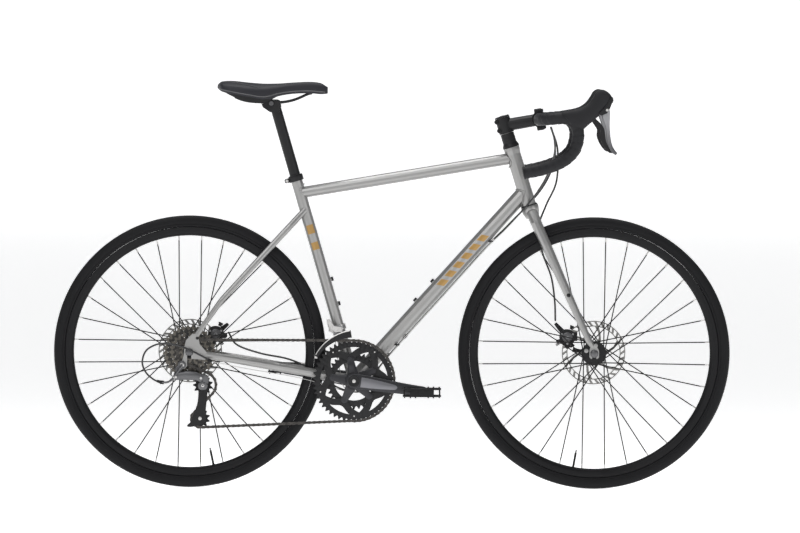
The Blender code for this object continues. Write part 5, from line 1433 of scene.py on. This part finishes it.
REAR_SHIFT_TAIL = ((-0.4500, -0.0810, 0.3180), (-0.5000, -0.0910, 0.3440),
                   (-0.5400, -0.0910, 0.3590), (-0.5800, -0.0900, 0.3620),
                   (-0.6130, -0.0890, 0.3460), (-0.6240, -0.0880, 0.3165),
                   (-0.6150, -0.0870, 0.2900), (-0.5950, -0.0860, 0.2720),
                   (-0.5760, -0.0850, 0.2650))


def under_tube(distance, y, away=0.0225):
    return DOWN_START + DOWN_ALONG * distance - DOWN_UP * away + SIDE * y


def cables():
    """Brake and shift housings; those from bar to frame stay fixed in place, on no body."""
    bend = ("frame", "steering", Vector((0.3318, 0, 0.6700)), Vector((0.3700, 0, 0.8600)))
    brake = [(0.3980, 0.1450, 0.9070), (0.4080, 0.1300, 0.8700), (0.4050, 0.0900, 0.8150),
             (0.3700, 0.0430, 0.7460), under_tube(0.090, 0.012, 0.026),
             under_tube(0.160, 0.012), under_tube(0.330, 0.012), under_tube(0.500, 0.014),
             under_tube(0.580, 0.018, 0.0260), (-0.0700, 0.0240, 0.2460),
             (-0.1080, 0.0300, 0.2420), (-0.1500, 0.0400, 0.2580), (-0.2000, 0.0425, 0.2950),
             (-0.2600, 0.0450, 0.3210), (-0.3300, 0.0500, 0.3350), (-0.3900, 0.0660, 0.3560),
             (-0.4120, 0.0730, 0.3880)]
    bm = bmesh.new()
    tube(bm, rounded(brake, 10), 0.0024, 14)
    piece("rear_brake_line", bm, CABLE, None, ("rear_brake_housing",), 60, bend)
    bm = bmesh.new()
    front = [(0.3980, 0.1150, 0.9070), (0.4150, 0.0980, 0.8500), (0.4120, 0.0700, 0.7700),
             (0.3860, 0.0560, 0.7100), (0.3660, 0.0530, 0.6500), (0.3780, 0.0550, 0.5900),
             (0.4000, 0.0590, 0.5300), (0.4090, 0.0615, 0.4700), (0.4110, 0.0620, 0.4190)]
    tube(bm, rounded(front, 10), 0.0024, 14)
    piece("front_brake_line", bm, CABLE, "steering", ("front_brake_housing",), 60)
    for word, y, first in (
            ("rear", -0.008, ((0.3960, -0.1300, 0.9070), (0.4060, -0.1150, 0.8650),
                              (0.3950, -0.0750, 0.8050), (0.3560, -0.0360, 0.7350))),
            ("front", -0.001, ((0.3960, -0.1000, 0.9070), (0.4060, -0.0880, 0.8650),
                               (0.3950, -0.0560, 0.8050), (0.3560, -0.0270, 0.7350)))):
        points = [*first, under_tube(0.090, y - 0.006, 0.0265), under_tube(0.150, y)]
        bm = bmesh.new()
        tube(bm, rounded(points, 10), 0.0021, 14)
        turned(bm, [(0.0021, -0.0100), (0.0030, -0.0100), (0.0031, 0.0), (0.0012, 0.0006)],
               points[-1], DOWN_ALONG, 14, material=1)
        piece(f"{word}_shift_line", bm, [CABLE, STEEL], None, (f"{word}_shift_cable",), 60,
              bend)
        inner = [under_tube(0.150, y), under_tube(0.330, y), under_tube(0.500, y),
                 under_tube(0.590, y, 0.0265)]
        if word == "rear":
            inner += [(-0.0900, -0.0100, 0.2425), (-0.1350, -0.0180, 0.2480),
                      (-0.1750, -0.0250, 0.2620), (-0.2500, -0.0330, 0.2800),
                      (-0.3600, -0.0560, 0.2990), REAR_SHIFT_TAIL[0]]
        else:
            inner += [(-0.0900, -0.0020, 0.2425), (-0.1200, -0.0050, 0.2530),
                      (-0.1310, -0.0100, 0.3000), (-0.1400, -0.0180, 0.3500),
                      (-0.1420, -0.0205, 0.3815)]
        bm = bmesh.new()
        tube(bm, rounded(inner, 6), 0.0009, 8)
        piece(f"{word}_shift_wire", bm, STEEL, "frame", degrees=60)
    bm = bmesh.new()
    loop = rounded(REAR_SHIFT_TAIL, 10)
    tube(bm, loop, 0.0023, 14)
    for at, toward in ((loop[0], loop[0] - loop[1]), (loop[-1], loop[-1] - loop[-2])):
        turned(bm, [(0.0024, -0.0120), (0.0034, -0.0120), (0.0036, -0.0100), (0.0036, 0.0),
                    (0.0012, 0.0006)], at, toward, 16, material=1)
    piece("rear_shift_loop", bm, [CABLE, PLASTIC], "frame", degrees=60)


def rear_derailleur():
    """The derailleur's body, upper pivot with its barrel adjuster, and lower knuckle cap."""
    bm = bmesh.new()
    out = -SIDE
    top = Vector((-0.5250, -0.0840, 0.3090))
    turned(bm, [(0.0, -0.0020), (0.0098, -0.0020), (0.0102, 0.0010), (0.0096, 0.0046),
                (0.0060, 0.0056), (0.0, 0.0056)], top, out, 32)
    bolt(bm, top + out * 0.0050, out, 0.0052, 0.0016, material=1)
    arm = [(-0.5240, -0.0875, 0.3060), (-0.5330, -0.0895, 0.2950), (-0.5420, -0.0890, 0.2830),
           (-0.5480, -0.0880, 0.2740), (-0.5600, -0.0870, 0.2660), (-0.5740, -0.0855, 0.2650)]
    loft(bm, tube_rings(rounded(arm, 5), [0.0085] * 6 + [0.0075] * 6 + [0.0060] * 6
                        + [0.0048] * 8, 16, 0.55, SIDE))
    tube(bm, [(-0.5700, -0.0855, 0.2650), (-0.5800, -0.0850, 0.2655)], 0.0048, 16, material=2)
    bolt(bm, Vector((-0.5430, -0.0935, 0.2790)), out, 0.0036, 0.0014, material=1)
    piece("derailleur_upper_body", bm, [DARK_METAL, STEEL, PLASTIC], "frame")

    bm = bmesh.new()
    link = [(-0.5440, -0.0900, 0.2800), (-0.5150, -0.0935, 0.2835), (-0.4900, -0.0930, 0.2810),
            (-0.4740, -0.0900, 0.2750)]
    loft(bm, tube_rings(rounded(link, 6), [0.0095] * 6 + [0.0105] * 7 + [0.0095] * 6, 16, 0.42,
                        UP))
    for x, z in ((-0.5400, 0.2790), (-0.4770, 0.2765)):
        bolt(bm, Vector((x, -0.0965, z)), out, 0.0032, 0.0012, material=1)
    piece("derailleur_outer_cover", bm, [DARK_METAL, STEEL], "rear_derailleur_outer_link",
          ("rear_derailleur_outer_link",))

    bm = bmesh.new()
    centre = Vector((GUIDE.x, -0.0840, GUIDE.z))
    turned(bm, [(0.0, -0.0180), (0.0118, -0.0180), (0.0122, -0.0150), (0.0122, 0.0015),
                (0.0105, 0.0042), (0.0060, 0.0050), (0.0, 0.0050)], centre, out, 36)
    ear = [(-0.4720, 0.2660), (-0.4800, 0.2760), (-0.4760, 0.2850), (-0.4620, 0.2840),
           (-0.4560, 0.2720), (-0.4600, 0.2620)]
    prism(bm, ear, -0.0900, -0.0670, bevel=0.0018)
    bolt(bm, centre + out * 0.0045, out, 0.0040, 0.0014, material=1)
    piece("derailleur_lower_knuckle", bm, [DARK_METAL, STEEL], "rear_derailleur_knuckle",
          ("rear_derailleur_knuckle",))

    bm = bmesh.new()
    outline = ((-0.4845, 0.2600), (-0.4780, 0.2705), (-0.4660, 0.2705), (-0.4595, 0.2600),
               (-0.4630, 0.2200), (-0.4655, 0.1920), (-0.4650, 0.1720), (-0.4720, 0.1600),
               (-0.4850, 0.1570), (-0.5030, 0.1530), (-0.5125, 0.1560), (-0.5030, 0.1660),
               (-0.4960, 0.1860), (-0.4870, 0.2100), (-0.4840, 0.2350))
    path = [(p.x, p.z) for p in rounded([(x, 0, z) for x, z in outline + outline[:1]], 3)[:-1]]
    for near in (-1, 1):
        y = sorted((COG_Y + near * 0.0060, COG_Y + near * 0.0075))
        prism(bm, path, *y, bevel=0.0003)
        for point in (GUIDE, TENSION):
            bolt(bm, Vector((point.x, COG_Y + near * 0.0075, point.z)), SIDE * near, 0.0044,
                 0.0012, material=1)
    for point in (GUIDE, TENSION):
        tube(bm, [point + SIDE * -0.0070, point + SIDE * 0.0070], 0.0027, 14, material=1)
    piece("derailleur_cage_plates", bm, [BLACK_METAL, STEEL], "rear_derailleur_cage",
          ("rear_derailleur_cage",), 40)
    for word, point in (("guide", GUIDE), ("tension", TENSION)):
        bm = bmesh.new()
        ring_band(bm, point, gear_outline(PULLEY_TEETH, 0.0, 0.0040, 0.0026), 0.0042, point.y,
                  0.0011)
        turned(bm, [(0.0034, -0.0030), (0.0062, -0.0030), (0.0064, -0.0022), (0.0064, 0.0022),
                    (0.0062, 0.0030), (0.0034, 0.0030)], point, SIDE, 24, closed=True,
               material=1)
        piece(f"{word}_pulley_wheel", bm, [PLASTIC, STEEL], f"{word}_pulley",
              (f"{word}_pulley",), 35)


def narrowing_arc(centre, radius, loss, start, sweep, steps):
    """Points on an arc whose radius shrinks by loss from its first point to its last."""
    made = []
    for k in range(steps + 1):
        a = math.radians(start + sweep * k / steps)
        made.append(centre + Vector((math.cos(a), 0, math.sin(a))) * (radius - loss * k / steps))
    return made


def front_derailleur():
    """The cage's outer plate with a bright edge, its linkage and the clamp's hinge bolt."""
    bm = bmesh.new()
    ring = Vector((BB.x, 0, BB.z))
    low = round_arc(ring, 0.1085, 93, 148, 16)
    high = narrowing_arc(ring, 0.1275, 0.0105, 94, 53, 13)[::-1]
    outline = [(p.x, p.z) for p in low + high]
    prism(bm, outline, -0.0526, -0.0511, bevel=0.0004)
    prism(bm, outline, -0.0425, -0.0411, bevel=0.0004)
    edge = narrowing_arc(ring - SIDE * 0.0526, 0.1262, 0.0100, 95, 51, 17)
    tube(bm, edge, 0.0013, 8, material=1)
    bridge = [(p.x, p.z) for p in round_arc(ring, 0.1215, 96, 107, 6)
              + round_arc(ring, 0.1245, 107, 96, 6)]
    prism(bm, bridge, -0.0520, -0.0415)
    tail = Vector((BB.x - 0.0950, 0, BB.z + 0.0590))
    slab(bm, tail + Vector((-0.0050, -0.0524, -0.0040)), tail + Vector((0.0040, -0.0412, 0.0040)),
         0.0010, material=1)
    slab(bm, Vector((BB.x - 0.0480, -0.0415, BB.z + 0.1090)),
         Vector((BB.x - 0.0300, -0.0240, BB.z + 0.1135)), 0.0010)
    piece("front_cage_plates", bm, [BLACK_METAL, STEEL], "front_derailleur_cage",
          ("front_derailleur_cage",), 35)
    bm = bmesh.new()
    base = BB + SEAT_AXIS * 0.1310
    back = -SEAT_FRONT
    for lift in (0.0018, 0.0112):
        turned(bm, [(0.0144, -0.0016), (0.0184, -0.0014), (0.0184, 0.0014), (0.0144, 0.0016)],
               base + SEAT_AXIS * lift, SEAT_AXIS, 40, closed=True)
    bolt(bm, base + SEAT_AXIS * 0.0065 + back * 0.0225 - SIDE * 0.0080, -SIDE, 0.0044, 0.0036)
    slab(bm, base + SEAT_AXIS * 0.0065 + back * 0.0165 + Vector((-0.0060, -0.0080, -0.0060)),
         base + SEAT_AXIS * 0.0065 + back * 0.0200 + Vector((0.0060, 0.0080, 0.0060)), 0.0015)
    swing = [(-0.0100, -0.0060), (0.0080, -0.0040), (0.0060, 0.0080), (-0.0120, 0.0110),
             (-0.0260, 0.0290), (-0.0330, 0.0280), (-0.0300, 0.0160), (-0.0220, 0.0020)]
    prism(bm, [(base.x + x, base.z + z) for x, z in swing], -0.0400, -0.0300, bevel=0.0015)
    prism(bm, [(base.x + x * 0.8 - 0.004, base.z + z * 0.8 - 0.006) for x, z in swing], -0.0290,
          -0.0210, bevel=0.0015)
    for x, z in ((-0.0050, 0.0020), (-0.0200, 0.0080), (-0.0280, 0.0240)):
        bolt(bm, base + Vector((x, -0.0400, z)), -SIDE, 0.0032, 0.0018)
    piece("front_derailleur_linkage", bm, STEEL, "frame")


welds()
bottle_bolts()
decals()
fork_details()
qr_lever("front", FRONT_AXLE, "front_qr")
qr_lever("rear", REAR_AXLE, "rear_qr")
caliper("front", "steering", (0.0, 1.0))
caliper("rear", "frame", (1.0, 0.6))
cables()
rear_derailleur()
front_derailleur()


# The CAD nodes that stay, with their finishes

CAD_LOOKS = {}


def paint_cad():
    for name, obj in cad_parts.items():
        look = CAD_LOOKS.get(name, BLACK_METAL)
        obj.data.materials.clear()
        obj.data.materials.append(look)
        smooth(obj.data, 40)


def looks(look, *names):
    for name in names:
        CAD_LOOKS[name] = look


looks(FRAME_SILVER, "head_tube", "top_tube", "down_tube", "seat_tube", "bottom_bracket_shell",
      "rear_stays_left", "rear_stays_right", "fork")
looks(GREY_METAL, "crank_right", "crank_left", "brake_lever_right", "brake_lever_left",
      "front_derailleur_cage", "front_derailleur_clamp", "front_caliper_arm",
      "rear_caliper_arm")
looks(DARK_METAL, "rear_derailleur_mount", "rear_derailleur_outer_link",
      "rear_derailleur_inner_link", "rear_derailleur_knuckle", "rear_derailleur_cage")
looks(DARK_STEEL, "cassette", "chain")
looks(RUBBER, "hood_right", "hood_left")
looks(TAPE, "bar_tape_right", "bar_tape_left")
looks(LEATHER, "saddle")
looks(CABLE, "front_brake_housing", "rear_brake_housing", "front_shift_cable",
      "rear_shift_cable")
looks(PLASTIC, "pedal_right", "pedal_left", "guide_pulley", "tension_pulley")
paint_cad()


# Stage


def stage():
    """A plain pale round floor with a low curved rim, soft lamps and the camera."""
    bm = bmesh.new()
    profile = [(8.0, 0.0), (20.0, 0.0), (45.0, 0.0)]
    for k in range(1, 9):
        a = math.pi / 2 * k / 8
        profile.append((45.0 + 3.0 * math.sin(a), 3.0 - 3.0 * math.cos(a)))
    profile.append((48.0, 7.0))
    rows = []
    for radius, z in profile:
        rows.append([bm.verts.new((radius * math.cos(math.pi * k / 48),
                                   radius * math.sin(math.pi * k / 48), z - 0.0005))
                     for k in range(96)])
    bm.faces.new(rows[0])
    for a, b in zip(rows, rows[1:]):
        for k in range(96):
            bm.faces.new((a[k], b[k], b[(k + 1) % 96], a[(k + 1) % 96]))
    mesh = bpy.data.meshes.new("floor")
    bm.to_mesh(mesh)
    bm.free()
    smooth(mesh, 60)
    floor = bpy.data.objects.new("floor", mesh)
    bpy.context.scene.collection.objects.link(floor)
    paper = material("studio_floor", (0.86, 0.86, 0.86), 0.75, grain=40, tone=0.01, bump=0.0,
                     specular=0.2)
    shader = paper.node_tree.nodes["Principled BSDF"]
    shader.inputs["Emission Color"].default_value = (1.0, 1.0, 1.0, 1)
    shader.inputs["Emission Strength"].default_value = 0.72
    mesh.materials.append(paper)

    def lamp(name, place, target, size, power):
        light = bpy.data.lights.new(name, "AREA")
        light.shape = "RECTANGLE"
        light.size, light.size_y = size
        light.energy = power
        obj = bpy.data.objects.new(name, light)
        obj.location = place
        aim = Vector(target) - Vector(place)
        obj.rotation_euler = aim.to_track_quat("-Z", "Y").to_euler()
        bpy.context.scene.collection.objects.link(obj)

    lamp("key", (-1.6, -3.4, 3.6), (0, 0, 0.5), (3.5, 2.0), 62)
    lamp("fill", (3.4, -3.0, 1.8), (0, 0, 0.5), (2.0, 2.0), 16)
    lamp("top", (0.0, 0.6, 4.2), (0, 0, 0.3), (4.0, 1.6), 95)
    world = bpy.data.worlds.new("studio")
    world.use_nodes = True
    world.node_tree.nodes["Background"].inputs["Color"].default_value = (0.95, 0.97, 1.0, 1)
    world.node_tree.nodes["Background"].inputs["Strength"].default_value = 0.20
    bpy.context.scene.world = world
    bpy.context.scene.view_settings.view_transform = "Standard"


def camera():
    """A long lens square to the bicycle's right side, a little above the handlebar."""
    lens = bpy.data.cameras.new("camera")
    lens.lens = 448.4
    lens.sensor_width = 36.0
    lens.clip_end = 200.0
    obj = bpy.data.objects.new("camera", lens)
    place = Vector((0.0195, -25.0, 1.0835))
    aim = Vector((0.0195, 0.0, 0.5560)) - place
    turn = aim.to_track_quat("-Z", "Y").to_matrix().to_4x4()
    obj.matrix_world = (Matrix.Translation(place) @ turn
                        @ Matrix.Rotation(math.radians(0.26), 4, "Z"))
    bpy.context.scene.collection.objects.link(obj)
    bpy.context.scene.camera = obj


stage()
camera()
